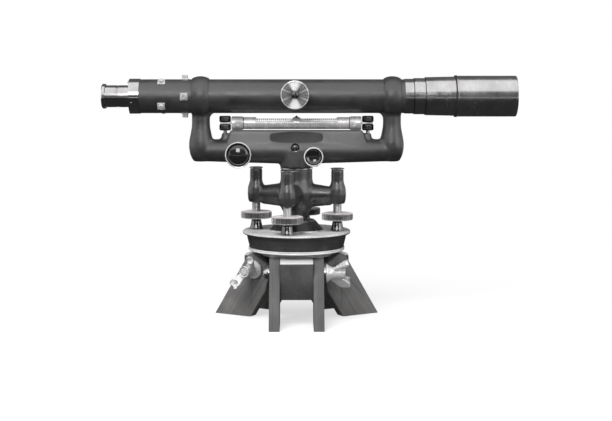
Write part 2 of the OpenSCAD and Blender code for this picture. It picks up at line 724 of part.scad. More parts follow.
module tangent_knob() color([0.12, 0.12, 0.13]) difference() {
    face = bar_mid_r + knob_gap;
    translate([-tangent_x, -face, tangent_z]) rotate([90, 0, 0]) rotate_extrude() polygon([
        [0, 0], [6, 0], [7, 1], [tangent_r - 1.6, 2], [tangent_r, 3.6], [tangent_r, 8.4],
        [tangent_r - 0.9, 9.2], [tangent_r - 1.5, 8.4], [7, 9.6], [0, 10.2]
    ]);
    pin_y(-tangent_x, tangent_z, tangent_screw_r + run, -face - 5.1, 0);
}

module spring_plunger() color([0.8, 0.8, 0.8]) {
    tip = arm_y + arm_t + free;
    flange = spring_box_y + 1.4 + slow_travel;
    pin_y(-tangent_x, tangent_z, plunger_r, tip + 1.8, spring_box_y + 6);
    translate([-tangent_x, tip + plunger_r, tangent_z]) sphere(r = plunger_r - 0.02);
    pin_y(-tangent_x, tangent_z, spring_r - 0.1, flange, flange + 1.5);
}

module plunger_spring() color([0.7, 0.7, 0.7]) difference() {
    near = spring_box_y + 6 + slow_travel;
    pin_y(-tangent_x, tangent_z, spring_r, near, spring_box_y + spring_box_l - 1.5);
    pin_y(-tangent_x, tangent_z, spring_r - 1, near - 1, near + long);
}

module spring_box() color([0.8, 0.8, 0.8]) difference() {
    union() {
        pin_y(-tangent_x, tangent_z, spring_box_r, spring_box_y, spring_box_y + spring_box_l);
        pin_y(-tangent_x, tangent_z, spring_box_r + 1.4, spring_box_y + bracket_l,
            spring_box_y + spring_box_l);
    }
    pin_y(-tangent_x, tangent_z, spring_r + 0.2, spring_box_y + 1, spring_box_y + spring_box_l - 1.5);
    pin_y(-tangent_x, tangent_z, plunger_r + run, spring_box_y - 1, spring_box_y + 3);
}

module level_case() color([0.8, 0.8, 0.8]) translate([0, 0, level_z]) difference() {
    lug_x = level_half - 5.4;
    case_half = level_half - 2;
    bed_half = level_half - 9;
    union() {
        translate([-case_half, 0, 0]) along_x() cylinder(r = level_r, h = 2 * case_half);
        for (side = [0, 1]) mirror([side, 0, 0])
            translate([lug_x, -4, 0.1 - nut_seat]) cube([stud_x + 5 - lug_x, 8, 2 * nut_seat - 0.2]);
    }
    translate([-bed_half, 0, 0]) along_x() cylinder(r = vial_r + run, h = 2 * bed_half);
    for (side = [0, 1]) mirror([side, 0, 0]) translate([3, -10, 1.5]) cube([sight_half - 3, 20, 10]);
    for (side = [-1, 1]) translate([side * stud_x, 0, -5]) cylinder(r = stud_r + run, h = 10);
}

module level_caps() color([0.85, 0.85, 0.86]) translate([0, 0, level_z]) for (side = [-1, 1]) {
    translate([side * (level_half - level_cap_l / 2) - level_cap_l / 2, 0, 0]) along_x() difference() {
        cylinder(r = level_cap_r, h = level_cap_l);
        translate([0, 0, -1]) cylinder(r = level_r + 0.02, h = level_cap_l + 2);
    }
}

module level_vial() color([0.9, 0.95, 0.9]) translate([10 - level_half, 0, level_z]) along_x()
    cylinder(r = vial_r, h = 2 * level_half - 20);

module level_studs() color([0.8, 0.8, 0.8]) for (side = [-1, 1])
    translate([side * stud_x, 0, bar_z + 4]) cylinder(r = stud_r - 0.02, h = level_z + 7 - bar_z - 4);

module capstan_nuts() color([0.8, 0.8, 0.8]) for (side = [-1, 1], up = [0, 1])
    translate([side * stud_x, 0, level_z]) mirror([0, 0, up]) translate([0, 0, nut_seat]) difference() {
        cylinder(r = capstan_r, h = nut_h);
        translate([0, 0, -1]) cylinder(r = stud_r, h = nut_h + 2);
        for (turn = [45, 135]) translate([0, 0, nut_h / 2]) rotate([90, 0, turn])
            translate([0, 0, -10]) cylinder(r = 0.8, h = 20);
    }

module telescope_tube() color([0.2, 0.2, 0.21]) difference() {
    sleeve(tube_r - 0.01, tube_in_r, -tube_rear, tube_front);
    pin_y(-pinion_x, pinion_z, pinion_bush_r + 0.02, -30, -8);
    for (a = [0:90:270]) {
        ray(hair_x, a) cylinder(r = adjuster_hole_r + 0.02, h = 40);
        ray(centring_x, a + centring_turn) cylinder(r = adjuster_hole_r + 0.02, h = 40);
    }
}

// The direction square to the line of sight, x behind the vertical axis and a degrees round it
module ray(x, a) translate([-x, 0, sight_z]) rotate([a, 0, 0]) children();

module end_ring() color([0.85, 0.85, 0.86])
    sleeve(tube_r + 0.5, tube_in_r, tube_front, tube_front + end_ring_w);

module pinion_bush() color([0.8, 0.8, 0.8]) difference() {
    pin_y(-pinion_x, pinion_z, pinion_bush_r, -bush_out, -bush_in);
    pin_y(-pinion_x, pinion_z, pinion_shaft_r + run, -40, 0);
}

// Outline of a gear with straight-sided teeth, thinned so that they run free
module gear_outline(teeth, m) {
    root = teeth * m / 2 - 0.9 * m;
    tip = teeth * m / 2 + 0.7 * m;
    union() {
        circle(r = root);
        for (i = [0:teeth - 1]) rotate([0, 0, 360 * i / teeth])
            polygon([[root - 0.3, -0.85 * m], [tip, -0.3 * m], [tip, 0.3 * m], [root - 0.3, 0.85 * m]]);
    }
}

module pinion() color([0.8, 0.75, 0.5]) {
    translate([-pinion_x, -pinion_out + pinion_w, pinion_z]) rotate([90, 0, 0])
        rotate([0, 0, 90]) linear_extrude(height = pinion_w) gear_outline(pinion_teeth, gear_m);
    pin_y(-pinion_x, pinion_z, pinion_shaft_r, -focus_face + 0.6, -pinion_out + 0.5);
}

module focus_knob() color([0.88, 0.88, 0.89]) difference() {
    translate([-pinion_x, -focus_face, pinion_z]) along_y() rotate_extrude() polygon([
        [0, 0], [focus_r - 0.6, 0], [focus_r, 0.6], [focus_r, focus_t - 0.8], [focus_r - 0.8, focus_t],
        [6, focus_t + 0.4], [5, focus_face - bush_out - free], [0, focus_face - bush_out - free]
    ]);
    pin_y(-pinion_x, pinion_z, pinion_shaft_r + 0.02, -focus_face + 0.6, 0);
    pin_y(-pinion_x, pinion_z, 1.6, -focus_face - 1, -focus_face + 2);
}

module focus_screw() color([0.5, 0.5, 0.5]) difference() {
    union() {
        pin_y(-pinion_x, pinion_z, 3, -focus_face - 1.4, -focus_face);
        pin_y(-pinion_x, pinion_z, 1.55, -focus_face - 0.5, -focus_face + 0.58);
    }
    translate([-pinion_x - 5, -focus_face - 2.4, pinion_z - 0.4]) cube([10, 1.8, 0.8]);
}

module focus_slide() color([0.75, 0.72, 0.6]) difference() {
    gap = pitch_r + gear_m + 0.4;
    slot_end = 11;
    sleeve(slide_r, slide_in_r, slide_front - slide_l, slide_front - 0.2);
    translate([-pinion_x - slide_travel - slot_end, -20, pinion_z - gap])
        cube([slide_travel + 2 * slot_end, 10, 2 * gap]);
}

module focus_rack() color([0.8, 0.75, 0.5]) intersection() {
    rack_w = pinion_w + 3.5;
    union() {
        translate([-pinion_x - slide_travel - 6, -pinion_out - 2, rack_top - 8])
            cube([slide_travel + 12, rack_w, 8 - 1.6 * gear_m]);
        for (i = [-2:11]) translate([-pinion_x - (i + 0.5) * gear_pitch, -pinion_out - 2, rack_top])
            rotate([-90, 0, 0]) linear_extrude(height = rack_w) polygon([
                [-0.3 * gear_m, 0], [0.3 * gear_m, 0], [0.85 * gear_m, 1.7 * gear_m],
                [-0.85 * gear_m, 1.7 * gear_m]
            ]);
    }
    on_sight() translate([0, 0, -long]) cylinder(r = slide_in_r - 0.02, h = 2 * long);
}

module slide_collar() color([0.85, 0.85, 0.86])
    sleeve(slide_collar_r, slide_r + 0.02, slide_front - slide_collar_w, slide_front);

module objective_cell() color([0.86, 0.85, 0.85]) on_sight() rotate_extrude() polygon([
    [slide_in_r, slide_front], [cell_rear_r, slide_front], [cell_front_r, cell_front - 1],
    [cell_front_r, cell_front], [spigot_r, cell_front], [spigot_r, spigot_front],
    [lens_r + 0.02, spigot_front], [lens_r + 0.02, spigot_front - lens_t - 3],
    [slide_in_r, spigot_front - lens_t - 3]
]);

module objective_glass() color([0.8, 0.9, 0.95]) on_sight() translate([0, 0, spigot_front - lens_t - 3])
    intersection() {
        cylinder(r = lens_r, h = lens_t);
        translate([0, 0, lens_t - lens_curve_r]) sphere(r = lens_curve_r);
    }

module glass_ring() color([0.2, 0.2, 0.2])
    sleeve(lens_r, lens_r - 1.6, spigot_front - 3 - 0.5, spigot_front - 0.5);

module sunshade() color([0.85, 0.83, 0.84]) on_sight() rotate_extrude() polygon([
    [shade_in_r, cell_front + free], [shade_r + 0.5, cell_front + free],
    [shade_r + 0.5, cell_front + shade_lip_l], [shade_r, cell_front + shade_lip_l + 0.4],
    [shade_r, shade_front - 0.4], [shade_r - 0.3, shade_front], [shade_in_r, shade_front]
]);

module eyepiece_ring() color([0.85, 0.85, 0.86]) {
    sleeve(head_ring_r, barrel_r + free, -head_ring_rear, -tube_rear);
    sleeve(tube_in_r - 0.02, barrel_r + free, -tube_rear - eps, -tube_rear + 6);
    translate([-head_ring_rear - 2, 0, sight_z + 14]) along_x() cylinder(r = 1.6, h = 2.5);
    translate([-head_ring_rear + 2.8, 0, sight_z]) rotate([115, 0, 0]) translate([0, 0, head_ring_r - 1])
        cylinder(r = 1.8, h = 1.8);
}

module erector_tube() color([0.6, 0.6, 0.55]) {
    sleeve(erector_bore_r + 2, erector_bore_r, -centring_x - erector_l / 2, -centring_x + erector_l / 2);
    sleeve(hair_ring_r, erector_bore_r, -centring_x - 4, -centring_x + 4);
}

module adjusting_screw(reach, seat, head_h) {
    translate([0, 0, reach]) cylinder(r = adjuster_hole_r, h = seat - reach + eps);
    translate([0, 0, seat]) cylinder(r1 = adjuster_r, r2 = adjuster_r - 0.3, h = head_h);
}

module centring_screws() color([0.8, 0.8, 0.8]) for (a = [0:90:270]) ray(centring_x, a + centring_turn) {
    half = centring_plate / 2;
    intersection() {
        translate([-half, -half, 0]) cube([centring_plate, centring_plate, 2 * tube_r]);
        translate([-half - 1, 0, 0]) along_x() difference() {
            cylinder(r = tube_r + centring_plate_t, h = centring_plate + 2);
            translate([0, 0, -1]) cylinder(r = tube_r + 0.01, h = centring_plate + 4);
        }
    }
    adjusting_screw(hair_ring_r, tube_r + centring_plate_t - 0.2, adjuster_h / 2);
}

module cross_hair_ring() color([0.6, 0.6, 0.55])
    sleeve(hair_ring_r, erector_bore_r, -hair_x - 2.5, -hair_x + 2.5);

module cross_hair_screws() color([0.8, 0.8, 0.8]) for (a = [0:90:270])
    ray(hair_x, a) adjusting_screw(hair_ring_r, tube_r + 0.5, adjuster_h);

module eyepiece_barrel() color([0.85, 0.85, 0.86]) difference() {
    sleeve(barrel_r, barrel_r - barrel_wall, -barrel_rear, -head_ring_rear + barrel_in);
    on_sight() translate([0, 0, -barrel_rear + barrel_out / 2])
        rotate_extrude() translate([barrel_r, 0]) circle(r = 0.6);
}

module eye_cap() color([0.2, 0.2, 0.2]) on_sight() rotate_extrude() polygon([
    [4.5, -barrel_rear - 1.6], [7, -barrel_rear - cap_t], [cap_r - 0.8, -barrel_rear - cap_t],
    [cap_r, -barrel_rear - cap_t + 0.8], [cap_r, -barrel_rear - free], [4.5, -barrel_rear - free]
]);

module eye_lens() color([0.8, 0.9, 0.95]) on_sight() translate([0, 0, -barrel_rear + 1])
    cylinder(r = barrel_r - barrel_wall, h = 3);

tripod_head();
leg_bolts();
front_leg();
right_leg();
left_leg();
leg_washers();
front_wing_nut();
right_wing_nut();
left_wing_nut();
foot_plate();
ball_cap();
levelling_shoes();
half_ball();
levelling_head();
socket_ring();
dust_caps();
screw_a();
screw_b();
screw_c();
screw_d();
disc_a();
disc_b();
disc_c();
disc_d();
clamp_collar();
clamp_knob();
spindle();
frame_casting();
badge_screw();
tangent_screw();
tangent_knob();
spring_plunger();
plunger_spring();
spring_box();
level_case();
level_caps();
level_vial();
level_studs();
capstan_nuts();
telescope_tube();
end_ring();
pinion_bush();
pinion();
focus_knob();
focus_screw();
focus_slide();
focus_rack();
slide_collar();
objective_cell();
objective_glass();
glass_ring();
sunshade();
eyepiece_ring();
erector_tube();
centring_screws();
cross_hair_ring();
cross_hair_screws();
eyepiece_barrel();
eye_cap();
eye_lens();
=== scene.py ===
import json
import math

import bpy
from mathutils import Matrix, Vector


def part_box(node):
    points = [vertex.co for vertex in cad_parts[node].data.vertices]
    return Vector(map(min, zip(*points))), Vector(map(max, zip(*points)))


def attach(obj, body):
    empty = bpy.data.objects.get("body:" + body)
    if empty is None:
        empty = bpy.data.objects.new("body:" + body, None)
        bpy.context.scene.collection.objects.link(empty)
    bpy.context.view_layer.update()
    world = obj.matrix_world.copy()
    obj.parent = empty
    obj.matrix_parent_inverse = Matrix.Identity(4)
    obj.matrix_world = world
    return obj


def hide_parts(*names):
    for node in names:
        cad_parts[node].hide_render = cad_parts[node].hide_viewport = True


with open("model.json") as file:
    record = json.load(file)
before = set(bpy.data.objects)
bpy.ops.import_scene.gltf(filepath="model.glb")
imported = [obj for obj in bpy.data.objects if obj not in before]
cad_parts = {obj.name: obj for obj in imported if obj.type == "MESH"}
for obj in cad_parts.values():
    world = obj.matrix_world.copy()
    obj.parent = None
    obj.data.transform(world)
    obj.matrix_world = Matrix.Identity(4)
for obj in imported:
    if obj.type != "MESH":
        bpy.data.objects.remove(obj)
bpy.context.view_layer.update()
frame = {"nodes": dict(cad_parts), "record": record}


# Tripod head: an iron casting with three lugs, one between the boards of each leg. It is black
# where it is cast and bright where it is turned: the neck, the thread and the lugs' planed tops.
class Wire:
    """An output of a finish's nodes. Sums, products and comparisons of wires add Math nodes."""

    def __init__(self, tree, socket=None):
        self.tree, self.socket = tree, socket

    def node(self, kind, values=None, out=0, **settings):
        made = self.tree.nodes.new("ShaderNode" + kind)
        for name, value in settings.items():
            setattr(made, name, value)
        for name, value in (values or {}).items():
            if isinstance(value, Wire):
                self.tree.links.new(value.socket, made.inputs[name])
            else:
                made.inputs[name].default_value = value
        return Wire(self.tree, made.outputs[out] if made.outputs else None)

    def maths(self, operation, a, b=0.0):
        return self.node("Math", {0: a, 1: b}, operation=operation)

    def __add__(self, other):
        return self.maths("ADD", self, other)

    def __sub__(self, other):
        return self.maths("SUBTRACT", self, other)

    def __rsub__(self, other):
        return self.maths("SUBTRACT", other, self)

    def __mul__(self, other):
        return self.maths("MULTIPLY", self, other)

    def __gt__(self, other):
        return self.maths("GREATER_THAN", self, other)

    def __lt__(self, other):
        return self.maths("LESS_THAN", self, other)

    __radd__ = __add__
    __rmul__ = __mul__

    def into(self, operation):
        """The wire through a Math node that takes one value."""
        return self.maths(operation, self)

    def part(self, axis):
        return self.node("SeparateXYZ", {0: self}, out=axis)

    def stretched(self, x, y, z):
        return self.node("VectorMath", {0: self, 1: (x, y, z)}, operation="MULTIPLY")

    def away_from(self, point, x=1, y=1, z=1):
        """Distance from point, with a weight for each axis. A weight of 0 makes point a line."""
        off = self.node("VectorMath", {0: self, 1: point}, operation="SUBTRACT").stretched(x, y, z)
        return self.node("VectorMath", {0: off}, out="Value", operation="LENGTH")

    def noise(self, scale, detail=3.0, rough=0.55):
        inputs = {"Vector": self, "Scale": scale, "Detail": detail, "Roughness": rough}
        return self.node("TexNoise", inputs)

    def streaks(self, detail=3.0, rough=0.5):
        """Noise along one measure, such as a radius or an angle."""
        inputs = {"W": self, "Scale": 1, "Detail": detail, "Roughness": rough}
        return self.node("TexNoise", inputs, noise_dimensions="1D")

    def between(self, low, high, at_low=0.0, at_high=1.0):
        return self.node("MapRange", {0: self, 1: low, 2: high, 3: at_low, 4: at_high})

    def tint(self, dark, bright):
        """A colour from dark at 0 to bright at 1."""
        return self.node("Mix", {0: self, 6: (*dark, 1), 7: (*bright, 1)}, out=2, data_type="RGBA")

    def over(self, below, above):
        """The colour below where the wire is 0, and above where it is 1."""
        return self.node("Mix", {0: self, 6: below, 7: above}, out=2, data_type="RGBA")


def cleared(holder):
    """Empties the node tree of a material or a world, to build it from nothing."""
    holder.use_nodes = True
    holder.node_tree.nodes.clear()
    return Wire(holder.node_tree)


def finish(name, build, **sockets):
    """A Principled material. build gets the Object coordinates, and gives what varies."""
    material = bpy.data.materials.new(name)
    wire = cleared(material)
    place = wire.node("TexCoord", out="Object")
    shader = wire.node("BsdfPrincipled", {**sockets, **build(place)})
    wire.node("OutputMaterial", {"Surface": shader})
    return material


def bump(height, deep, strength):
    return height.node("Bump", {"Height": height, "Distance": deep, "Strength": strength})


def crackle(place, low, high, dull=0.44):
    """Baked enamel over a cast skin: a fine crackle, and faint clouds where hands have worn it."""
    grain = place.noise(900, 6, 0.7)
    cloud = place.noise(52, 4, 0.6)
    return {
        "Base Color": (grain * 0.55 + cloud * 0.45).between(0.36, 0.64).tint(low, high),
        "Roughness": cloud.between(0.32, 0.68, dull - 0.09, dull + 0.09),
        "Normal": bump(grain, 0.00035, 0.35),
    }


def pick(obj):
    """Selects this object alone and makes it the active one."""
    if bpy.context.object and bpy.context.object.mode != "OBJECT":
        bpy.ops.object.mode_set(mode="OBJECT")
    bpy.ops.object.select_all(action="DESELECT")
    obj.select_set(True)
    bpy.context.view_layer.objects.active = obj


def again(obj, name):
    """A second object with a mesh of its own."""
    made = obj.copy()
    made.data = obj.data.copy()
    made.name = name
    bpy.context.scene.collection.objects.link(made)
    return made


SAME_POINT = 1e-6


def copy_of(node, name):
    """A merged copy of a CAD node, which is loose triangles."""
    made = again(frame["nodes"][node], name)
    made.parent = None
    for key in [k for k in made.keys() if k.startswith("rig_")]:
        del made[key]
    pick(made)
    bpy.ops.object.mode_set(mode="EDIT")
    bpy.ops.mesh.select_all(action="SELECT")
    bpy.ops.mesh.remove_doubles(threshold=SAME_POINT)
    bpy.ops.object.mode_set(mode="OBJECT")
    return made


def shaped(obj, kind, **settings):
    """Adds a modifier and applies it."""
    pick(obj)
    made = obj.modifiers.new(kind.lower(), kind)
    for name, value in settings.items():
        setattr(made, name, value)
    bpy.ops.object.modifier_apply(modifier=made.name)


def smoothed(degrees):
    """Shades the picked object smooth, but for edges sharper than this."""
    bpy.ops.object.shade_smooth_by_angle(angle=math.radians(degrees))


def eased(obj, width):
    """Takes the sharp edges off, as a file or a cutter does."""
    shaped(
        obj, "BEVEL", width=width, segments=2, limit_method="ANGLE", angle_limit=math.radians(40)
    )
    smoothed(35)


def give(obj, material, body, stands_for=()):
    """Puts a new piece on its body, in the place of the CAD nodes that it stands for."""
    obj.data.materials.clear()
    obj.data.materials.append(material)
    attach(obj, body)
    if stands_for:
        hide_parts(*stands_for)


MM = 0.001
LUG_BRIGHT = 24.6 * MM


def head_skin(place):
    cast = crackle(place, (0.04, 0.04, 0.041), (0.095, 0.094, 0.095))
    bright = place.part(2) > LUG_BRIGHT
    lathe = place.stretched(60, 60, 2600).noise(1, 2).tint((0.5, 0.5, 0.5), (0.75, 0.75, 0.75))
    return {
        **cast,
        "Base Color": bright.over(cast["Base Color"], lathe),
        "Metallic": bright.between(0, 1, 0, 0.35),
    }


tripod_casting = copy_of("tripod_head", "tripod_head_casting")
eased(tripod_casting, 0.6 * MM)
head_iron = finish("tripod_head_iron", head_skin)
give(tripod_casting, head_iron, "tripod", ["tripod_head"])


# Leg bolts and washers: turned steel, nickelled. A bolt has a domed head on the far board and
# takes a washer and a wing nut at the other end.
def lathe_lines(place, along, low, high, smooth=0.16, dull=0.32):
    """Turned and lacquered metal: fine rings round the axis, faint clouds in the lacquer."""
    rate = [70, 70, 70]
    rate[along] = 5200
    ring = place.stretched(*rate).noise(1, 3, 0.6)
    cloud = place.noise(55, 4, 0.6)
    return {
        "Base Color": (ring * 0.35 + cloud * 0.65).between(0.36, 0.64).tint(low, high),
        "Roughness": (ring * 0.4 + cloud * 0.6).between(0.35, 0.65, smooth, dull),
        "Normal": bump(ring, 0.00003, 0.5),
    }


def lathed(name, along, tones, *gloss, **sockets):
    """A material of turned metal with nothing else on it."""
    return finish(name, lambda place: lathe_lines(place, along, *tones, *gloss), **sockets)


def dress(material, *names):
    """Gives the material to CAD nodes, whose forms stay as they are."""
    for name in names:
        slots = frame["nodes"][name].data.materials
        slots.clear()
        slots.append(material)


NICKEL = (0.58, 0.57, 0.57), (0.8, 0.79, 0.79)
dress(lathed("bolt_nickel", 2, NICKEL, Metallic=1.0), "leg_bolts", "leg_washers")

# Legs: each is two boards of straight-grained ash, stained dark and varnished, that clasp a lug
# of the head. Handling has rubbed patches of them paler, and the front leg's ash is painted
# darker, as painted shade.
SPLAY = math.radians(32.4)
LEG_TURNS = {"front": -90, "right": 30, "left": 150}
# The front leg's lower value is painted shade: its boards face the lamps edge-on.
STAIN_AND_PAINTED_SHADE = {"front": 0.55, "right": 0.95, "left": 0.95}


def ash(turn, depth):
    """Grain along a leg that stands turned from the front. Lower depth darkens it: painted shade.
    """
    def grain(place):
        lean = {"Vector": place, "Rotation": (0, -SPLAY, math.radians(turn))}
        along = place.node("Mapping", lean, vector_type="TEXTURE")
        fibre = along.stretched(2400, 2400, 30).noise(1, 5, 0.7)
        band = along.stretched(520, 520, 9).noise(1, 3, 0.55)
        tone = fibre.between(0.34, 0.66, 0, 0.6) + band.between(0.34, 0.66, 0, 0.4)
        worn = place.noise(38, 4, 0.6).between(0.45, 0.62, 0, 0.25)
        dark, light = (0.1, 0.097, 0.096), (0.24, 0.235, 0.232)
        return {
            "Base Color": (tone * 0.8 + worn).tint(
                [v * depth for v in dark], [v * depth for v in light]
            ),
            "Roughness": band.between(0.3, 0.7, 0.42, 0.6),
            "Normal": bump(fibre, 0.0003, 0.4),
        }

    return grain


for leg, turn in LEG_TURNS.items():
    boards = copy_of(leg + "_leg", leg + "_leg_boards")
    eased(boards, 0.5 * MM)
    wood = finish(leg + "_leg_ash", ash(turn, STAIN_AND_PAINTED_SHADE[leg]))
    give(boards, wood, leg + "_leg", [leg + "_leg"])


# Wing nuts: cast, filed and nickelled, one on each leg bolt. The hub flares on to the washer, and
# two cupped wings sweep out past its end. Modelled once, lying along Z, and copied.
def begun(start, location=(0, 0, 0), **settings):
    """The object that an operator adds, as the start of a piece."""
    bpy.ops.object.select_all(action="DESELECT")
    start(location=location, **settings)
    return bpy.context.object


def block(at, size):
    made = begun(bpy.ops.mesh.primitive_cube_add, size=1)
    made.data.transform(Matrix.Translation(at) @ Matrix.Diagonal((*size, 1)))
    return made


def stood(at, aim, up="Y"):
    """Moves a form that was made along Z to a place, where it points towards aim."""
    return Matrix.Translation(at) @ Vector(aim).to_track_quat("Z", up).to_matrix().to_4x4()


def turned(name, outline, at=(0, 0, 0), aim=(0, 0, 1), bored=False, facets=96):
    """Draws a ring out along (radius, rise) pairs in mm, about the line from at towards aim."""
    radius, rise = outline[0]
    made = begun(
        bpy.ops.mesh.primitive_circle_add, vertices=facets, radius=radius * MM,
        fill_type="NOTHING" if bored else "NGON",
    )
    made.name = name
    bpy.ops.object.mode_set(mode="EDIT")
    bpy.ops.mesh.select_mode(type="VERT")
    bpy.ops.mesh.select_all(action="SELECT")
    bpy.ops.transform.translate(value=(0, 0, rise * MM))
    for next_radius, next_rise in outline[1:] + (outline[:1] if bored else []):
        step = (0, 0, (next_rise - rise) * MM)
        bpy.ops.mesh.extrude_region_move(TRANSFORM_OT_translate={"value": step})
        ratio = next_radius / radius
        bpy.ops.transform.resize(value=(ratio, ratio, 1), center_override=(0, 0, 0))
        radius, rise = next_radius, next_rise
    bpy.ops.mesh.select_all(action="SELECT")
    bpy.ops.mesh.remove_doubles(threshold=SAME_POINT)
    bpy.ops.mesh.normals_make_consistent(inside=False)
    bpy.ops.object.mode_set(mode="OBJECT")
    made.data.transform(stood(at, aim))
    smoothed(38)
    return made


def joined(first, *others):
    """Makes the others part of the first, which keeps its name."""
    pick(first)
    for other in others:
        other.select_set(True)
    bpy.ops.object.join()
    return first


def milled(obj, cutter):
    """Cuts one solid out of another and throws the cutter away."""
    shaped(obj, "BOOLEAN", object=cutter, operation="DIFFERENCE", solver="EXACT")
    bpy.data.objects.remove(cutter)


def cast_form(obj, voxel, passes):
    """Rounds a machined solid's joins as a moulder's pattern has them."""
    shaped(obj, "REMESH", mode="VOXEL", voxel_size=voxel)
    shaped(obj, "SMOOTH", factor=0.5, iterations=passes)
    bpy.ops.object.shade_smooth()


# In mm, as outlines are.
HUB_R, WING_Z = 6, 6.5
WING_STEPS = [
    # Out, sideways and along in mm, then how many times broader and thicker.
    (2.4, 0.2, 1.6, 0.9, 0.95), (2.6, 0.5, 2.6, 1.1, 1.2), (2.8, 0.7, 2.6, 1.05, 1.3),
    (2.4, 0.7, 2.0, 1.0, 1.15), (1.8, 0.4, 1.0, 0.78, 0.85), (0.7, 0.1, 0.3, 0.62, 0.7),
]


def wing():
    """A block drawn out in steps from the hub and rounded by a subdivision surface."""
    made = block((4 * MM, 0, WING_Z * MM), (4 * MM, 6.4 * MM, 8 * MM))
    for face in made.data.polygons:
        face.select = face.normal.x > 0.9
    bpy.ops.object.mode_set(mode="EDIT")
    bpy.ops.mesh.select_mode(type="FACE")
    centre = Vector((HUB_R, 0, WING_Z)) * MM
    for out, aside, along, broad, thick in WING_STEPS:
        step = Vector((out, aside, along)) * MM
        centre += step
        bpy.ops.mesh.extrude_region_move(TRANSFORM_OT_translate={"value": step})
        bpy.ops.transform.resize(value=(1, thick, broad), center_override=centre)
    bpy.ops.object.mode_set(mode="OBJECT")
    shaped(made, "SUBSURF", levels=3, render_levels=3)
    return made


# In mm too.
NUT_LONG = 14.5
HUB_END = NUT_LONG - 1.4
CUP_OUT, CUP_ASIDE, CUP_Z = 14.4, 2.2, 19.2

CUP_RADII = 4.6 * MM, 3.6 * MM, 4 * MM
NUT_VOXEL = 0.36 * MM
NUT_STRETCH, NUT_BACK = 1.26, 5.1 * MM
NUT_TURNS = {"front": 124, "right": 92, "left": 47}
hub = turned("wing_nut_hub", [
    (9.4, 0), (9.3, 1.1), (7.6, 2.4), (6.2, 4.4), (5.6, 8), (5.5, HUB_END), (0, HUB_END),
])
wings = [wing(), wing()]
wings[1].data.transform(Matrix.Rotation(math.pi, 4, "Z"))
nut_form = joined(hub, *wings)
shaped(nut_form, "REMESH", mode="VOXEL", voxel_size=NUT_VOXEL)
for side in (-1, 1):
    cup = begun(bpy.ops.mesh.primitive_uv_sphere_add, segments=48, ring_count=24, radius=1)
    cup_at = Vector((side * CUP_OUT, side * CUP_ASIDE, CUP_Z)) * MM
    cup.data.transform(Matrix.Translation(cup_at) @ Matrix.Diagonal((*CUP_RADII, 1)))
    milled(nut_form, cup)
cast_form(nut_form, NUT_VOXEL, 24)
lip = turned("wing_nut_lip", [
    (3, NUT_LONG - 2), (5.6, NUT_LONG - 2), (5.6, NUT_LONG + 0.3), (5.2, NUT_LONG + 0.6),
    (4.6, NUT_LONG + 0.3), (4.4, HUB_END), (3.7, HUB_END), (3.5, NUT_LONG + 0.2),
    (3, NUT_LONG + 0.3),
], bored=True)
bolt_end = turned("leg_bolt_end", [
    (3.1, NUT_LONG - 2), (3.1, NUT_LONG + 0.3), (1.1, NUT_LONG + 0.3), (0.7, NUT_LONG - 0.3),
    (0, NUT_LONG - 0.3),
])
nut_form = joined(nut_form, lip, bolt_end)
nut_form.data.transform(Matrix.Diagonal((1, 1, NUT_STRETCH, 1)))
nut_tones = (0.72, 0.71, 0.71), (0.92, 0.91, 0.91)
nut_nickel = lathed("wing_nut_nickel", 2, nut_tones, 0.14, 0.24, Metallic=0.42)
joints = {joint["name"]: joint for joint in frame["record"]["behaviour"]["joints"]}
for leg, turn in NUT_TURNS.items():
    hinge = joints[leg + "_wing_nut_turn"]
    axis = Vector(hinge["axis"])
    nut = again(nut_form, leg + "_wing_nut_cast")
    on_washer = Vector(hinge["pos_m"]) - axis * NUT_BACK
    nut.data.transform(stood(on_washer, axis) @ Matrix.Rotation(math.radians(turn), 4, "Z"))
    give(nut, nut_nickel, leg + "_wing_nut", [leg + "_wing_nut"])
bpy.data.objects.remove(nut_form)


# Foot plate: a brass casting turned all over and nickelled. Its top is left bright from the tool,
# the skirt is painted dark as a painted reflection, and two beads run round its foot, painted
# near white as a painted highlight.
PLATE_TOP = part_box("foot_plate")[1][2]
PLATE_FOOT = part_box("foot_plate")[0][2]
BEADS_HIGH = 3.1 * MM
TOP_EDGE = 1.6 * MM


def plate_skin(place):
    z = place.part(2)
    ring = (place.away_from((0, 0, 0), z=0) * 5200).streaks()
    speck = place.noise(1500, 2, 0.6)
    cloud = place.noise(60, 4, 0.6)
    bead = z < PLATE_FOOT + BEADS_HIGH
    top = z > PLATE_TOP - TOP_EDGE
    bright = top + bead
    tone = ring * 0.25 + cloud * 0.25 + speck * 0.5
    # Painted reflection and highlight: the nickel skirt is painted near black, the beads near
    # white.
    skirt_painted_reflection = tone.between(0.4, 0.6).tint((0.03, 0.03, 0.03), (0.07, 0.07, 0.07))
    worn = tone.between(0.42, 0.58)
    tooled_top = worn.tint((0.34, 0.335, 0.335), (0.82, 0.81, 0.81))
    bead_painted_highlight = worn.tint((0.78, 0.77, 0.77), (1, 0.99, 0.99))
    return {
        "Metallic": bead.between(0, 1, 0, 0.4) + top * 0.05,
        "Base Color": bright.over(skirt_painted_reflection, bead.over(tooled_top, bead_painted_highlight)),
        "Roughness": bright.between(0, 1, 0.16, 0.3) + cloud * 0.12,
        "Normal": bump(ring + speck, 0.00006, 0.5),
    }


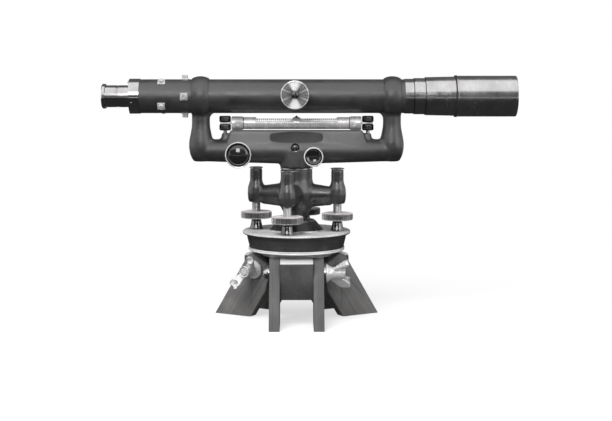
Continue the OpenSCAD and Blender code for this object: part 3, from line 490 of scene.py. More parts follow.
foot_plate = turned("foot_plate_turned", [
    (12, 52), (52.7, 52), (53.6, 51.8), (54.1, 51.3), (54.3, 50.5), (54.1, 49.7), (53.6, 49.2),
    (52.7, 49), (50.7, 48.9), (50.2, 48.3), (49.9, 46.5), (49.2, 43.5), (48.4, 40.2), (47.8, 37.6),
    (47.4, 36.1), (47.7, 35.8), (48.2, 35.5), (48.35, 35), (48.2, 34.5), (47.8, 34.25),
    (48.1, 34), (48.3, 33.5), (48.2, 32.9), (47.8, 32.6), (44.5, 32.6), (44.5, 46.3), (12, 46.3),
], bored=True, facets=160)
give(foot_plate, finish("foot_plate_nickel", plate_skin), "tripod", ["foot_plate"])


# Cap over the ball seat: black enamelled brass with two bright bevels. Under it is the half ball,
# of plain brass.
CAP_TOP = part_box("ball_cap")[1][2]
FOOT_BEVEL, TOP_BEVEL = 1.3 * MM, 0.9 * MM


def cap_skin(place):
    z = place.part(2)
    skin = crackle(place, (0.014, 0.014, 0.014), (0.03, 0.03, 0.03), 0.22)
    bevels = (z < PLATE_TOP + FOOT_BEVEL) + (z > CAP_TOP - TOP_BEVEL)
    bare = place.noise(300, 3).tint((0.6, 0.6, 0.6), (0.8, 0.8, 0.8))
    return {**skin, "Base Color": bevels.over(skin["Base Color"], bare), "Metallic": bevels}


dress(finish("ball_cap_enamel", cap_skin), "ball_cap")
brass = lathed("plain_brass", 2, ((0.5, 0.38, 0.2), (0.66, 0.52, 0.3)), 0.25, 0.4, Metallic=1.0)
dress(brass, "half_ball")


# Shoes: small hollow feet of turned gun metal, blackened and polished. They stand loose on the
# plate, one under each levelling screw.
def middle(node):
    """The middle of a CAD node's box."""
    return [(low + high) / 2 for low, high in zip(*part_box(node))]


gun_metal = (0.12, 0.12, 0.12), (0.3, 0.29, 0.29)
shoe_metal = lathed("shoe_metal", 2, gun_metal, 0.1, 0.2, Metallic=1.0)
shoes = []
for letter in "abcd":
    x, y, _ = middle("disc_" + letter)
    shoes.append(turned("shoe_" + letter, [
        (3.8, 0.2), (3.8, 9.6), (4.1, 10), (4.5, 9.8), (5, 8.6), (5.3, 6.8), (5.7, 4.6),
        (6.3, 2.2), (6.6, 1.7), (6.6, 0.5), (6.2, 0),
    ], at=(x, y, PLATE_TOP), bored=True))
shoes = joined(*shoes)
shoes.name = "shoes_turned"
give(shoes, shoe_metal, "tripod", ["levelling_shoes"])

# Levelling head: socket column and four arms in one casting, black crackle enamel over a skin that
# is filed smooth. The arms are deepest at the column, with rounded joins between all of them.
GLOSS = {"Specular IOR Level": 1.0, "IOR": 1.6}
ARM_MID_Z = 86.5 * MM
ARM_LONG, ARM_ROOT_R, ARM_END_R, ARM_WIDE = 24 * MM, 11.4 * MM, 8.8 * MM, 0.66
levelling_casting = copy_of("levelling_head", "levelling_head_casting")
for letter in "abcd":
    x, y, _ = middle("disc_" + letter)
    arm = begun(
        bpy.ops.mesh.primitive_cone_add, vertices=48, radius1=ARM_ROOT_R, radius2=ARM_END_R,
        depth=ARM_LONG,
    )
    arm.data.transform(
        Matrix.Translation((0, 0, ARM_MID_Z)) @ Matrix.Rotation(math.atan2(y, x), 4, "Z")
        @ Matrix.Translation((ARM_LONG, 0, 0)) @ Matrix.Diagonal((1, ARM_WIDE, 1, 1))
        @ Matrix.Rotation(math.pi / 2, 4, "Y")
    )
    levelling_casting = joined(levelling_casting, arm)
cast_form(levelling_casting, 0.8 * MM, 15)
head_enamel = finish(
    "levelling_head_enamel",
    lambda place: crackle(place, (0.014, 0.014, 0.014), (0.04, 0.039, 0.04), 0.32), **GLOSS
)
give(levelling_casting, head_enamel, "levelling_head", ["levelling_head"])

# Socket ring and dust caps: a bright flange at the top of the socket, and a cap on each of the
# four posts, all of turned brass, nickelled and polished.
dress(lathed("ring_nickel", 2, NICKEL, 0.1, 0.2, Metallic=1.0), "socket_ring", "dust_caps")


# Levelling screws of bright turned steel, with a fine thread, and their nickelled discs, knurled
# straight across the rim. Disc and knurl are made once and copied to the four screws.
PITCH = 1 * MM


def thread(place):
    steel = lathe_lines(place, 2, (0.4, 0.4, 0.4), (0.68, 0.67, 0.67), 0.2, 0.35)
    groove = (place.part(2) * (2 * math.pi / PITCH)).into("SINE")
    return {**steel, "Normal": bump(groove, 0.00012, 0.6)}


dress(finish("screw_steel", thread, Metallic=1.0), "screw_a", "screw_b", "screw_c", "screw_d")


def knurled(obj, strips, every, across, deep):
    """Sinks one strip in every few of the rim. across holds the two axes square to the turn."""
    centre = [sum(corner[i] for corner in obj.bound_box) / 8 for i in range(3)]
    u, v = across
    rim = max(abs(corner[u] - centre[u]) for corner in obj.bound_box)
    pick(obj)
    for face in obj.data.polygons:
        x, y = face.center[u] - centre[u], face.center[v] - centre[v]
        strip = int((math.atan2(y, x) / (2 * math.pi) + 1) * strips)
        outermost = math.hypot(x, y) > 0.985 * rim
        upright = math.hypot(face.normal[u], face.normal[v]) > 0.99
        face.select = bool(outermost and upright and strip % every == 0)
    bpy.ops.object.mode_set(mode="EDIT")
    bpy.ops.mesh.select_mode(type="FACE")
    bpy.ops.mesh.inset(thickness=0.05 * MM, depth=-deep, use_individual=True)
    bpy.ops.object.mode_set(mode="OBJECT")
    smoothed(25)


disc_form = turned("disc_form", [
    (4.2, 0), (14.4, 0), (15.2, 0.3), (15.6, 0.9), (15.6, 5.9), (15.2, 6.5), (14.4, 6.8),
    (10.5, 6.8), (10.1, 6.5), (5.9, 6.5), (5.5, 6.8), (4.2, 6.8),
], bored=True, facets=216)
knurled(disc_form, 108, 3, (0, 1), 0.5 * MM)
DISC_MID = 3.4 * MM
GROOVE_IN, GROOVE_OUT, GROOVE_HALF = 14.9 * MM, 15.35 * MM, 2.6 * MM
RIM_IN = 15.3 * MM


def disc_skin(centre):
    """Nickel with painted shade dark in the knurl's grooves, and painted streaks of light and
    shade round the rim between them.
    """
    def skin(place):
        metal = lathe_lines(place, 2, (0.58, 0.56, 0.57), (0.84, 0.81, 0.82), 0.26, 0.4)
        z, out = place.part(2), place.away_from(centre, z=0)
        level = (z > centre[2] - GROOVE_HALF) * (z < centre[2] + GROOVE_HALF)
        groove = (out < GROOVE_OUT) * (out > GROOVE_IN) * level
        # oil here is painted shade in the knurl's grooves; worn is painted streaks of light and
        # shade.
        oil = place.noise(300, 2).tint((0.08, 0.078, 0.078), (0.18, 0.175, 0.175))
        angle = place.maths("ARCTAN2", place.part(1) - centre[1], place.part(0) - centre[0])
        painted_knurl_streaks = (angle * 14).streaks(5, 0.8).between(0.44, 0.56)
        worn = painted_knurl_streaks.tint((0.22, 0.215, 0.22), (1, 0.98, 0.98))
        rim = out > RIM_IN
        return {**metal, "Base Color": groove.over(rim.over(metal["Base Color"], worn), oil)}

    return skin


for letter in "abcd":
    disc_name = "disc_" + letter
    x, y, _ = middle(disc_name)
    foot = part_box(disc_name)[0][2]
    centre = Vector((x, y, foot + DISC_MID))
    disc = again(disc_form, disc_name + "_knurled")
    disc.data.transform(Matrix.Translation(centre - Vector((0, 0, DISC_MID))))
    metal = finish(disc_name + "_metal", disc_skin(centre), Metallic=0.3)
    give(disc, metal, disc_name, [disc_name])
bpy.data.objects.remove(disc_form)

# Spindle and clamp collar: the spindle is turned brass, and the collar round it is a casting of
# blackened gun metal. Both are hidden, but for the collar's arm behind the bar.
dress(brass, "spindle")
collar_metal = finish(
    "clamp_collar_metal", lambda place: crackle(place, (0.03, 0.03, 0.03), (0.06, 0.06, 0.06))
)
dress(collar_metal, "clamp_collar")


# Clamp knob: turned brass, in one with its screw. The dished face is blackened and polished, and a
# bright nickelled rim is left round it.
def rimmed(point, line, rim):
    """Polished black within the radius rim of the line through point, bright nickel outside it."""
    def skin(place):
        weight = [1, 1, 1]
        weight[line] = 0
        bright = place.away_from(point, *weight) > rim * MM
        nickel = lathe_lines(place, line, (0.7, 0.69, 0.69), (0.9, 0.89, 0.89), 0.08, 0.16)
        cloud = place.noise(140, 3)
        black = cloud.tint((0.006, 0.006, 0.006), (0.016, 0.016, 0.016))
        return {
            "Base Color": bright.over(black, nickel["Base Color"]),
            "Metallic": bright * 0.35,
            "Roughness": cloud.between(0.3, 0.7, 0.07, 0.13),
        }

    return skin


def face_of(node):
    """The middle of a CAD node's front."""
    x, _, z = middle(node)
    return Vector((x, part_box(node)[0][1], z))


KNOBS_FACE = (0, -1, 0)
clamp_face = face_of("clamp_knob")
clamp_knob = turned("clamp_knob_turned", [
    (2.5, -29.6), (2.5, -8.6), (5, -8.6), (8.3, -6.9), (9.4, -6), (9.7, -5), (9.7, -1),
    (9.5, -0.4), (9.1, 0), (8.7, 0), (8.4, -0.3), (8.2, -1.1), (7.4, -2.2), (5.6, -3.4),
    (3, -4.1), (0, -4.3),
], at=clamp_face, aim=KNOBS_FACE)
clamp_black = finish("clamp_knob_black", rimmed(clamp_face, 1, 8.35), **GLOSS)
give(clamp_knob, clamp_black, "clamp_knob", ["clamp_knob"])

# Frame: bar, web, boss, posts and collars cast in one piece and enamelled as the head is. The
# front of the boss is faced flush with the bar, and a long recess is milled in the web.
BAR_Z, BAR_R = 132 * MM, 13.8 * MM
BOSS_HALF, BOSS_TOP = 20 * MM, BAR_Z + 8 * MM
frame_cast = copy_of("frame_casting", "frame_cast")
cast_form(frame_cast, 0.9 * MM, 10)
for corner in frame_cast.data.vertices:
    x, y, z = corner.co
    if abs(x) < BOSS_HALF and y < 0 and z < BOSS_TOP:
        corner.co.y = max(y, -math.sqrt(BAR_R**2 - max(z - BAR_Z, 0) ** 2))
shaped(frame_cast, "SMOOTH", factor=0.5, iterations=6)
RECESS_LONG, RECESS_HIGH, RECESS_DEEP = 52.7 * MM, 9.8 * MM, 0.9 * MM
RECESS_FLOOR, RECESS_REACH, CUTTER_LONG = 0.3 * MM, 30 * MM, 4 * MM
RECESS_MID = Vector((0, -9.6, 145.2)) * MM
WEB_LEAN = math.atan(2.5 / 16.2)
WEB_PAINTED_LIGHT_HALF, WEB_END, WEB_FOOT, WEB_TOP = 58 * MM, 76 * MM, 130 * MM, 140 * MM
ENAMEL = (0.013, 0.013, 0.0135), (0.036, 0.0355, 0.036)


def frame_skin(place):
    """The enamel, painted paler over the web as painted light where it leans up, and plain black
    on the recess's floor.
    """
    skin = crackle(place, *ENAMEL)
    # Painted light: the web is painted paler where it leans up to the lamps.
    web_painted_light = crackle(place, (0.045, 0.045, 0.046), (0.085, 0.084, 0.086))["Base Color"]
    along = place.part(0).into("ABSOLUTE").between(WEB_PAINTED_LIGHT_HALF, WEB_END, 1, 0)
    web = along * place.part(2).between(WEB_FOOT, WEB_TOP)
    off = place.node("VectorMath", {0: place, 1: RECESS_MID}, operation="SUBTRACT")
    deep = off.part(1) * math.cos(WEB_LEAN) - off.part(2) * math.sin(WEB_LEAN)
    sunk = (deep > RECESS_FLOOR) * (place.away_from(RECESS_MID, z=5) < RECESS_REACH)
    plain = place.noise(300, 3).tint((0.008, 0.008, 0.008), (0.016, 0.016, 0.016))
    return {
        **skin,
        "Base Color": sunk.over(web.over(skin["Base Color"], web_painted_light), plain),
        "Roughness": skin["Roughness"] + sunk * 0.25,
    }


recess = begun(
    bpy.ops.mesh.primitive_cylinder_add, vertices=64, radius=RECESS_HIGH / 2, depth=CUTTER_LONG
)
for corner in recess.data.vertices:
    corner.co.x += math.copysign((RECESS_LONG - RECESS_HIGH) / 2, corner.co.x)
recess.data.transform(
    Matrix.Translation(RECESS_MID) @ Matrix.Rotation(math.pi / 2 - WEB_LEAN, 4, "X")
    @ Matrix.Translation((0, 0, CUTTER_LONG / 2 - RECESS_DEEP))
)
milled(frame_cast, recess)
smoothed(50)
frame_enamel = finish("frame_enamel", frame_skin, **GLOSS)
give(frame_cast, frame_enamel, "alidade", ["frame_casting"])


# Screw below the recess: turned steel, with a domed head and a sawn slot. It sits in a raised seat
# on the front of the boss.
def slotted(name, radius, at, aim, turn):
    """A domed screw head with its slot turned from the horizontal. Its radius is in mm."""
    head = turned(name, [
        (radius, -0.4), (radius, 0.25 * radius), (0.86 * radius, 0.45 * radius),
        (0.6 * radius, 0.58 * radius), (0.3 * radius, 0.64 * radius), (0, 0.66 * radius),
    ], facets=48)
    size = 3 * radius * MM, 0.34 * radius * MM, 0.6 * radius * MM
    slot = begun(bpy.ops.mesh.primitive_cube_add, location=(0, 0, 0.62 * radius * MM), size=1)
    slot.data.transform(
        Matrix.Rotation(math.radians(turn), 4, "Z") @ Matrix.Diagonal((*size, 1))
    )
    milled(head, slot)
    head.data.transform(stood(at, aim))
    pick(head)
    smoothed(35)
    return head


boss_face = face_of("badge_screw") + Vector((0, 1.4, 0)) * MM
screw_seat = turned("badge_screw_seat", [
    (3.1, -0.5), (4.5, -0.5), (4.4, 0.5), (4, 0.9), (3.5, 0.8), (3.2, 0.3),
], at=boss_face, aim=KNOBS_FACE, bored=True, facets=64)
boss_screw = joined(screw_seat, slotted("badge_screw_head", 3, boss_face, KNOBS_FACE, 20))
boss_screw.name = "badge_screw_turned"
dull_steel = (0.14, 0.14, 0.14), (0.34, 0.33, 0.33)
worn_steel = lathed("worn_steel", 1, dull_steel, 0.2, 0.35, Metallic=1.0)
give(boss_screw, worn_steel, "alidade", ["badge_screw"])

# Slow motion: steel screw, plunger, spring and the nickelled spring box behind the bar. The knob
# has a domed black face inside a bright rim.
rod_nickel = lathed("rod_nickel", 1, NICKEL, Metallic=1.0)
dress(rod_nickel, "tangent_screw", "spring_plunger", "plunger_spring", "spring_box")
tangent_face = face_of("tangent_knob")
tangent_knob = turned("tangent_knob_turned", [
    (2.9, -5.1), (2.9, -10.2), (6, -10.2), (7, -9.2), (11.3, -8.2), (12.5, -7.2), (12.9, -6.2),
    (12.9, -1.5), (12.7, -0.7), (12.3, -0.3), (11.9, -0.4), (11.6, -1.5), (11.3, -3.4),
    (10, -2.5), (8, -1.5), (5, -0.55), (2, -0.1), (0, 0),
], at=tangent_face, aim=KNOBS_FACE)
tangent_black = finish("tangent_knob_black", rimmed(tangent_face, 1, 11.5), **GLOSS)
give(tangent_knob, tangent_black, "tangent_knob", ["tangent_knob"])

# Spirit level: a nickelled brass case, sawn open over the vial with round ends to the cut and a
# bridge left in the middle, two end caps each held by a small screw, and a lug at each end.
LEVEL_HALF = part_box("level_caps")[1][0]
LEVEL_Z = middle("level_caps")[2]
END = LEVEL_HALF / MM
CUT_MID, CUT_UP, CUT_SIZE = 22 * MM, 9.7 * MM, (38 * MM, 16 * MM, 16 * MM)
LUG_OUT, LUG_SIZE = 5 * MM, (13 * MM, 8 * MM, 1.8 * MM)
case = turned("level_case_tube", [
    (4.7, -END + 2), (5.9, -END + 2), (5.9, END - 2), (4.7, END - 2),
], at=(0, 0, LEVEL_Z), aim=(1, 0, 0), bored=True)
for side in (-1, 1):
    saw = block((side * CUT_MID, 0, CUT_UP), CUT_SIZE)
    shaped(saw, "BEVEL", width=6 * MM, segments=10, limit_method="ANGLE")
    saw.data.transform(Matrix.Translation((0, 0, LEVEL_Z)) @ Matrix.Diagonal((1, 3, 1, 1)))
    milled(case, saw)
    lug = block((side * (LEVEL_HALF + LUG_OUT), 0, LEVEL_Z), LUG_SIZE)
    shaped(lug, "BEVEL", width=0.5 * MM, segments=2)
    case = joined(case, lug)
pick(case)
smoothed(35)
SEAM_FROM, SEAM_TO = LEVEL_HALF - 12.1 * MM, LEVEL_HALF - 11.4 * MM
EDGE_FROM, EDGE_TO = LEVEL_Z + 1.1 * MM, LEVEL_Z + 1.75 * MM
CUT_FROM, CUT_TO = 3 * MM, 41 * MM


def level_skin(place):
    """Lacquered nickel, with oil and dust dark in the seams of the caps and along the saw cut."""
    skin = lathe_lines(place, 0, (0.5, 0.49, 0.49), (0.74, 0.73, 0.73), 0.2, 0.32)
    from_mid, z = place.part(0).into("ABSOLUTE"), place.part(2)
    seam = (from_mid > SEAM_FROM) * (from_mid < SEAM_TO)
    edge = (z > EDGE_FROM) * (z < EDGE_TO)
    cut = edge * (from_mid < CUT_TO) * (from_mid > CUT_FROM)
    oil = place.noise(300, 2).tint((0.02, 0.02, 0.02), (0.04, 0.04, 0.04))
    return {**skin, "Base Color": (seam + cut).over(skin["Base Color"], oil)}


level_nickel = finish("level_nickel", level_skin, Metallic=0.45)
give(case, level_nickel, "alidade", ["level_case"])
cap_ends = turned("level_cap_ends", [
    (5.92, -END), (6.3, -END), (6.7, -END + 0.5), (6.7, -END + 10.4), (6.4, -END + 10.8),
    (6.4, -END + 11.2), (6.1, -END + 11.6), (5.92, -END + 11.6),
], at=(0, 0, LEVEL_Z), aim=(1, 0, 0), bored=True)
other_end = again(cap_ends, "other_end")
other_end.data.transform(Matrix.Rotation(math.pi, 4, "Z"))
cap_ends = joined(cap_ends, other_end)
CAP_SCREW_DOWN = math.radians(24)
CAP_SCREW_IN, CAP_SCREW_R = 6.5 * MM, 6.6 * MM
for side in (-1, 1):
    out = Vector((0, -math.cos(CAP_SCREW_DOWN), -math.sin(CAP_SCREW_DOWN)))
    seat = Vector((side * (LEVEL_HALF - CAP_SCREW_IN), 0, LEVEL_Z)) + out * CAP_SCREW_R
    cap_ends = joined(cap_ends, slotted("level_cap_screw", 1.7, seat, out, 35 * side))
give(cap_ends, level_nickel, "alidade", ["level_caps"])

# Vial: a ground glass tube with a graduated scale etched on it, seen white against its plaster
# bed. The scale leaves the middle free, under the bridge.
SCALE_STEP, SCALE_FROM = 2 * MM, 9 * MM
TICK_WIDE, TICK_FOOT = 0.2, LEVEL_Z + 2.7 * MM


def graduated(place):
    x, z = place.part(0), place.part(2)
    step = (x * (1 / SCALE_STEP) + 0.5).into("FRACT")
    tick = (step < TICK_WIDE) * (z > TICK_FOOT) * (x.into("ABSOLUTE") > SCALE_FROM)
    milk = place.noise(220, 3).tint((0.86, 0.87, 0.86), (0.96, 0.97, 0.96))
    ink = place.noise(400, 2).tint((0.03, 0.03, 0.03), (0.06, 0.06, 0.06))
    return {
        "Base Color": tick.over(milk, ink),
        "Roughness": place.noise(300, 2).between(0.3, 0.7, 0.04, 0.1),
    }


dress(finish("vial_glass", graduated, **{"Coat Weight": 1.0}), "level_vial")

# Level index: a small brass wedge, filed to shape, blackened and soldered to the bridge of the
# case. It marks the middle of the vial.
INDEX_UP = 6.2 * MM
wedge = begun(
    bpy.ops.mesh.primitive_cone_add, vertices=4, radius1=3.4 * MM, radius2=0.9 * MM, depth=2.4 * MM
)
wedge.name = "level_index"
wedge.data.transform(
    Matrix.Translation((0, 0, LEVEL_Z + INDEX_UP)) @ Matrix.Diagonal((1, 0.7, 1, 1))
    @ Matrix.Rotation(math.pi / 4, 4, "Z")
)
eased(wedge, 0.25 * MM)
index_black = finish(
    "index_black", lambda place: crackle(place, (0.01, 0.01, 0.01), (0.03, 0.03, 0.03), 0.3)
)
give(wedge, index_black, "alidade")

# Level adjusters: two nickelled studs in the frame, each with two round capstan nuts that clamp
# the case's lug. Four holes round a nut take the adjusting pin.
dress(rod_nickel, "level_studs")
capstan_form = turned("capstan_form", [
    (2, 1), (4.9, 1), (5.5, 1.5), (5.8, 2.3), (5.8, 3.3), (5.8, 4.9), (5.8, 5.9), (5.5, 6.7),
    (4.9, 7.2), (2, 7.2),
], bored=True, facets=24)
HOLE_Z, HOLE_TURN = 4.1 * MM, 52.5
for face in capstan_form.data.polygons:
    turn = math.degrees(math.atan2(face.center.y, face.center.x)) % 90
    level = abs(face.center.z - HOLE_Z) < 0.1 * MM
    outside = face.center.length > 5.4 * MM
    face.select = level and outside and abs(turn - HOLE_TURN) < 4
bpy.ops.object.mode_set(mode="EDIT")
bpy.ops.mesh.select_mode(type="FACE")
bpy.ops.mesh.inset(thickness=0.1 * MM, depth=0, use_individual=True)
bpy.ops.mesh.inset(thickness=0.05 * MM, depth=-1.8 * MM, use_individual=True)
bpy.ops.object.mode_set(mode="OBJECT")
smoothed(50)
STUD_R = 1.9 * MM
stud_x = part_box("level_studs")[1][0] - STUD_R
capstans = []
for side in (-1, 1):
    for flip in (math.pi, 0):
        nut = again(capstan_form, "capstan_nut")
        nut.data.transform(
            Matrix.Translation((side * stud_x, 0, LEVEL_Z)) @ Matrix.Rotation(flip, 4, "X")
        )
        capstans.append(nut)
bpy.data.objects.remove(capstan_form)
capstans = joined(*capstans)
capstans.name = "capstan_nuts_drilled"
give(capstans, worn_steel, "alidade", ["capstan_nuts"])

# Telescope tube: seamless brass, black enamelled. The cross-hair and centring screws come through
# it on nickelled square plates; inside are the brass cross-hair ring and erecting-lens tube.
tube_enamel = finish(
    "tube_enamel",
    lambda place: crackle(place, (0.014, 0.014, 0.014), (0.042, 0.041, 0.042), 0.4), **GLOSS
)
dress(tube_enamel, "telescope_tube")
dull_nickel = (0.5, 0.49, 0.49), (0.74, 0.73, 0.73)
plain_nickel = lathed("plain_nickel", 1, dull_nickel, 0.2, 0.32, Metallic=0.45)
dress(plain_nickel, "centring_screws")
x, _, z = middle("cross_hair_screws")
hair_mid = Vector((x, 0, z))
PLATE_OUT, HEAD_OUT = 16.9 * MM, 17.3 * MM
PLATE_SIZE = 7.4 * MM, 7.4 * MM, 1.2 * MM
hair_screws = []
for quarter in range(4):
    out = Vector((0, math.sin(quarter * math.pi / 2), math.cos(quarter * math.pi / 2)))
    plate = begun(bpy.ops.mesh.primitive_cube_add, size=1)
    plate.data.transform(
        stood(hair_mid + out * PLATE_OUT, out, "X") @ Matrix.Diagonal((*PLATE_SIZE, 1))
    )
    shaped(plate, "BEVEL", width=0.35 * MM, segments=2)
    head = turned("hair_screw_head", [
        (2.9, 0), (2.9, 1.1), (2.4, 1.5), (2.9, 1.9), (2.9, 3.4), (2.5, 3.8), (1.1, 3.8),
        (1.0, 3.0), (0, 3.0),
    ], at=hair_mid + out * HEAD_OUT, aim=out, facets=48)
    hair_screws += [plate, head]
hair_screws = joined(*hair_screws)
hair_screws.name = "hair_screws_turned"
give(hair_screws, plain_nickel, "alidade", ["cross_hair_screws"])
dress(brass, "erector_tube", "cross_hair_ring")

# Front of the telescope: end ring, focusing slide and its collar, objective cell and sunshade, all
# turned brass, nickelled and lacquered. The sunshade is blackened inside.
SIGHT = (0, 0, middle("sunshade")[2])
SHADE_BORE = 19.55 * MM
SHADE_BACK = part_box("sunshade")[0][0] + 1 * MM


def shade_skin(place):
    """Nickel outside, and dead black in the bore and on the edge of the shade's back end."""
    nickel = lathe_lines(place, 0, *NICKEL, 0.18, 0.28)
    outside = (place.away_from(SIGHT, x=0) > SHADE_BORE) * (place.part(0) > SHADE_BACK)
    black = place.noise(300, 3).tint((0.01, 0.01, 0.01), (0.025, 0.025, 0.025))
    return {
        "Base Color": outside.over(black, nickel["Base Color"]),
        "Metallic": outside,
        "Roughness": outside.between(0, 1, 0.8, 0.0) + nickel["Roughness"] * outside,
        "Normal": nickel["Normal"],
    }


COLLAR_FACE, CELL_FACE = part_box("slide_collar")[0][0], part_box("slide_collar")[1][0]
SEAM_BEFORE, SEAM_AFTER = 0.55 * MM, 0.1 * MM


def sight_skin(place):
    """Lacquered nickel, with oil dark in the seams between the turned rings."""
    skin = lathe_lines(place, 0, *NICKEL, 0.16, 0.28)
    x = place.part(0)
    collar, cell = [
        (x > face - SEAM_BEFORE) * (x < face + SEAM_AFTER) for face in (COLLAR_FACE, CELL_FACE)
    ]
    oil = place.noise(300, 2).tint((0.02, 0.02, 0.02), (0.05, 0.05, 0.05))
    return {**skin, "Base Color": (collar + cell).over(skin["Base Color"], oil)}


sight_nickel = finish("sight_nickel", sight_skin, Metallic=1.0)
dress(sight_nickel, "end_ring", "slide_collar", "objective_cell", "focus_slide")
dress(finish("sunshade_nickel", shade_skin), "sunshade")


# Objective and eye lens: ground and polished glass. A blackened ring holds the objective against
# a shoulder of its cell, and the eye cap holds the eye lens in the barrel.
def polished(place):
    return {
        "Base Color": place.noise(40, 2).tint((0.9, 0.95, 0.93), (0.97, 0.99, 0.98)),
        "Roughness": place.noise(200, 2).between(0.3, 0.7, 0.01, 0.03),
    }


glass = finish("clear_glass", polished, **{"Transmission Weight": 1.0, "IOR": 1.5})
dress(glass, "objective_glass", "eye_lens")
ring_black = finish(
    "ring_black", lambda place: crackle(place, (0.01, 0.01, 0.01), (0.02, 0.02, 0.02))
)
dress(ring_black, "glass_ring")

# Focusing gear: bush, pinion and rack of turned and cut brass, nickelled. The bush is fixed in the
# wall of the tube, and the pinion in it moves the rack of the focusing slide.
dress(rod_nickel, "pinion_bush", "pinion", "focus_rack")


# Focusing knob: turned brass, nickelled, faced with one radial cut, with painted highlights in a
# wedge above and below and fainter ones at the sides, milled round the rim, and held by a slotted
# screw.
BRIGHT_RIM = 12.9 * MM


def faced(place):
    knob_x, _, knob_z = middle("focus_knob")
    out = place.away_from((knob_x, 0, knob_z), y=0)
    angle = place.maths("ARCTAN2", place.part(0) - knob_x, place.part(2) - knob_z)
    ring = (out * 6200).streaks()
    ray = (angle * 9).streaks(4, 0.7)
    # Painted highlights: bright wedges above and below, fainter patches at the sides, radial
    # streaks.
    wedge, level = (angle * 2).into("COSINE"), (angle * 6).into("COSINE")
    painted_side_highlights = (wedge < -0.6) * level.between(0.2, 1.0) * 0.6
    painted_highlight = wedge.between(0.35, 0.85) + painted_side_highlights + ray.between(0.35, 0.65, -0.12, 0.12)
    rim = out > BRIGHT_RIM
    tone = painted_highlight + rim * 0.6 + ring.between(0.35, 0.65, -0.08, 0.08)
    return {
        "Base Color": tone.tint((0.24, 0.235, 0.235), (0.95, 0.94, 0.94)),
        "Roughness": ring.between(0.35, 0.65, 0.2, 0.3),
        "Normal": bump(ring, 0.00005, 0.5),
    }


focus_face = face_of("focus_knob")
focus_knob = turned("focus_knob_turned", [
    (2.2, -10), (5, -10), (5, -5.4), (6, -5), (13.1, -4.6), (13.9, -3.8), (13.9, -0.9),
    (13.6, -0.3), (13, 0), (12.7, -0.15), (12.4, -0.15), (4.6, -0.15), (4.3, -0.6), (2.2, -0.6),
], at=focus_face, aim=KNOBS_FACE, bored=True, facets=156)
knurled(focus_knob, 156, 2, (0, 2), 0.25 * MM)
knob_nickel = finish("focus_knob_nickel", faced, Metallic=0.3)
give(focus_knob, knob_nickel, "pinion", ["focus_knob"])
screw_at = focus_face + Vector((0, 0.4, 0)) * MM
focus_screw = slotted("focus_screw_head", 3.6, screw_at, KNOBS_FACE, 80)
give(focus_screw, worn_steel, "pinion", ["focus_screw"])

# Eyepiece: ring, barrel and eye cap of turned brass, nickelled and lacquered. The barrel turns as
# it slides, in a screw groove.
eye_nickel = lathed("eye_nickel", 0, NICKEL, 0.1, 0.16, Metallic=1.0)
dress(eye_nickel, "eyepiece_ring", "eyepiece_barrel", "eye_cap")


# Stage: a plain pale floor under the legs, white far off, three soft lamps, and the camera at the
# photograph's viewing angle. Three dark cards, which only reflections see, put the dark bands of a
# room on the nickel.
def shown(wire):
    """1 for the rays that see a thing itself: from the camera, a reflection or through glass."""
    rays = [
        wire.node("LightPath", out="Is " + kind + " Ray")
        for kind in ("Camera", "Glossy", "Transmission")
    ]
    return rays[0] + rays[1] + rays[2]


WHITE = (1, 1, 1, 1)
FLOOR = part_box("front_leg")[0][2]
FLOOR_GAP = 0.2 * MM
PALE_FROM, WHITE_FROM = 0.12, 0.55
floor = begun(bpy.ops.mesh.primitive_plane_add, location=(0, 0, FLOOR - FLOOR_GAP), size=14)
floor.name = "floor"
paper = bpy.data.materials.new("floor_paper")
sheet = cleared(paper)
matt = sheet.node("BsdfDiffuse", {"Color": (0.42, 0.42, 0.42, 1)})
glow = sheet.node("Emission", {"Color": WHITE, "Strength": 0.6})
white = sheet.node("Emission", {"Color": WHITE, "Strength": 1.0})
near = sheet.node("AddShader", {0: matt, 1: glow})
far = sheet.node("TexCoord", out="Object").away_from((0, 0, 0)).between(PALE_FROM, WHITE_FROM)
pale = sheet.node("MixShader", {0: far, 1: near, 2: white})
seen_floor = sheet.node("MixShader", {0: shown(sheet), 1: matt, 2: pale})
sheet.node("OutputMaterial", {"Surface": seen_floor})
floor.data.materials.append(paper)


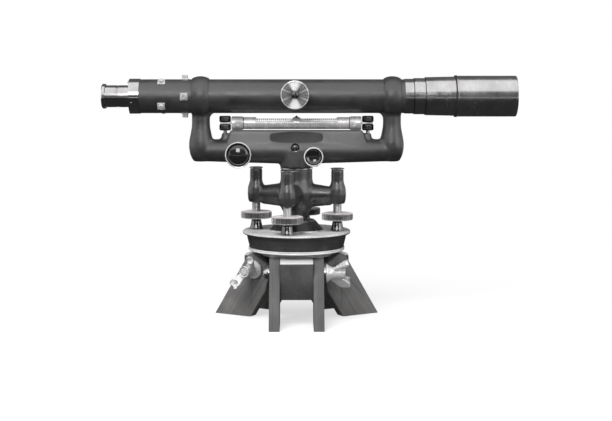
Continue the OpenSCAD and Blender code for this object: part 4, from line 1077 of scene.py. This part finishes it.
def dark_card(name, place, aim, size, tone):
    """A grey card, of this size and tone, that only reflections see."""
    card = begun(bpy.ops.mesh.primitive_plane_add, size=1)
    card.name = name
    card.data.transform(
        stood(place, Vector(aim) - Vector(place)) @ Matrix.Diagonal((*size, 1, 1))
    )
    card.visible_camera = card.visible_diffuse = False
    card.visible_shadow = card.visible_transmission = False
    velvet = bpy.data.materials.new(name + "_velvet")
    cloth = cleared(velvet)
    dim = cloth.node("Emission", {"Color": WHITE, "Strength": tone})
    cloth.node("OutputMaterial", {"Surface": dim})
    card.data.materials.append(velvet)


dark_card("table_card", (0, -0.35, FLOOR), (0, -0.35, 1), (3.2, 2.4), 0.03)
dark_card("front_card", (0, -2.1, 0.5), (0, 0, 0.5), (5, 1.6), 0.08)
dark_card("ceiling_card", (0, 1.05, 0.875), (0, 0, 0.19), (3.6, 2.3), 0.12)

world = bpy.data.worlds.new("studio")
bpy.context.scene.world = world
sky = cleared(world)
up = sky.node("TexCoord", out="Generated").part(2)
light = sky.node("Mix", {0: shown(sky), 2: up.between(-0.1, 0.8, 0.1, 0.7), 3: 1.0})
sky.node("OutputWorld", {"Surface": sky.node("Background", {"Color": WHITE, "Strength": light})})


def soft_lamp(name, place, aim, size, power):
    bpy.ops.object.light_add(type="AREA", location=place)
    lamp = bpy.context.object
    lamp.name = name
    lamp.data.size = size
    lamp.data.energy = power
    lamp.rotation_euler = (Vector(aim) - Vector(place)).to_track_quat("-Z", "Y").to_euler()
    return lamp


key = soft_lamp("key", (-0.4, -0.8, 1.1), (0, 0, 0.1), 0.8, 16.5)
key.visible_glossy = False
soft_lamp("fill", (1.1, -0.9, 0.5), (0, 0, 0.1), 0.7, 3)
soft_lamp("glint", (-0.12, -1.05, 0.56), (0, 0, 0.15), 0.36, 2.4)

EYE = Vector((0, -1.3, 0.214))
AIM = Vector((0.0095, 0, 0.0715))
bpy.ops.object.camera_add(location=EYE)
camera = bpy.context.object
camera.data.lens = 76.5
camera.data.sensor_width = 36
camera.rotation_euler = (AIM - EYE).to_track_quat("-Z", "Y").to_euler()
bpy.context.scene.camera = camera
bpy.context.scene.view_settings.view_transform = "Standard"
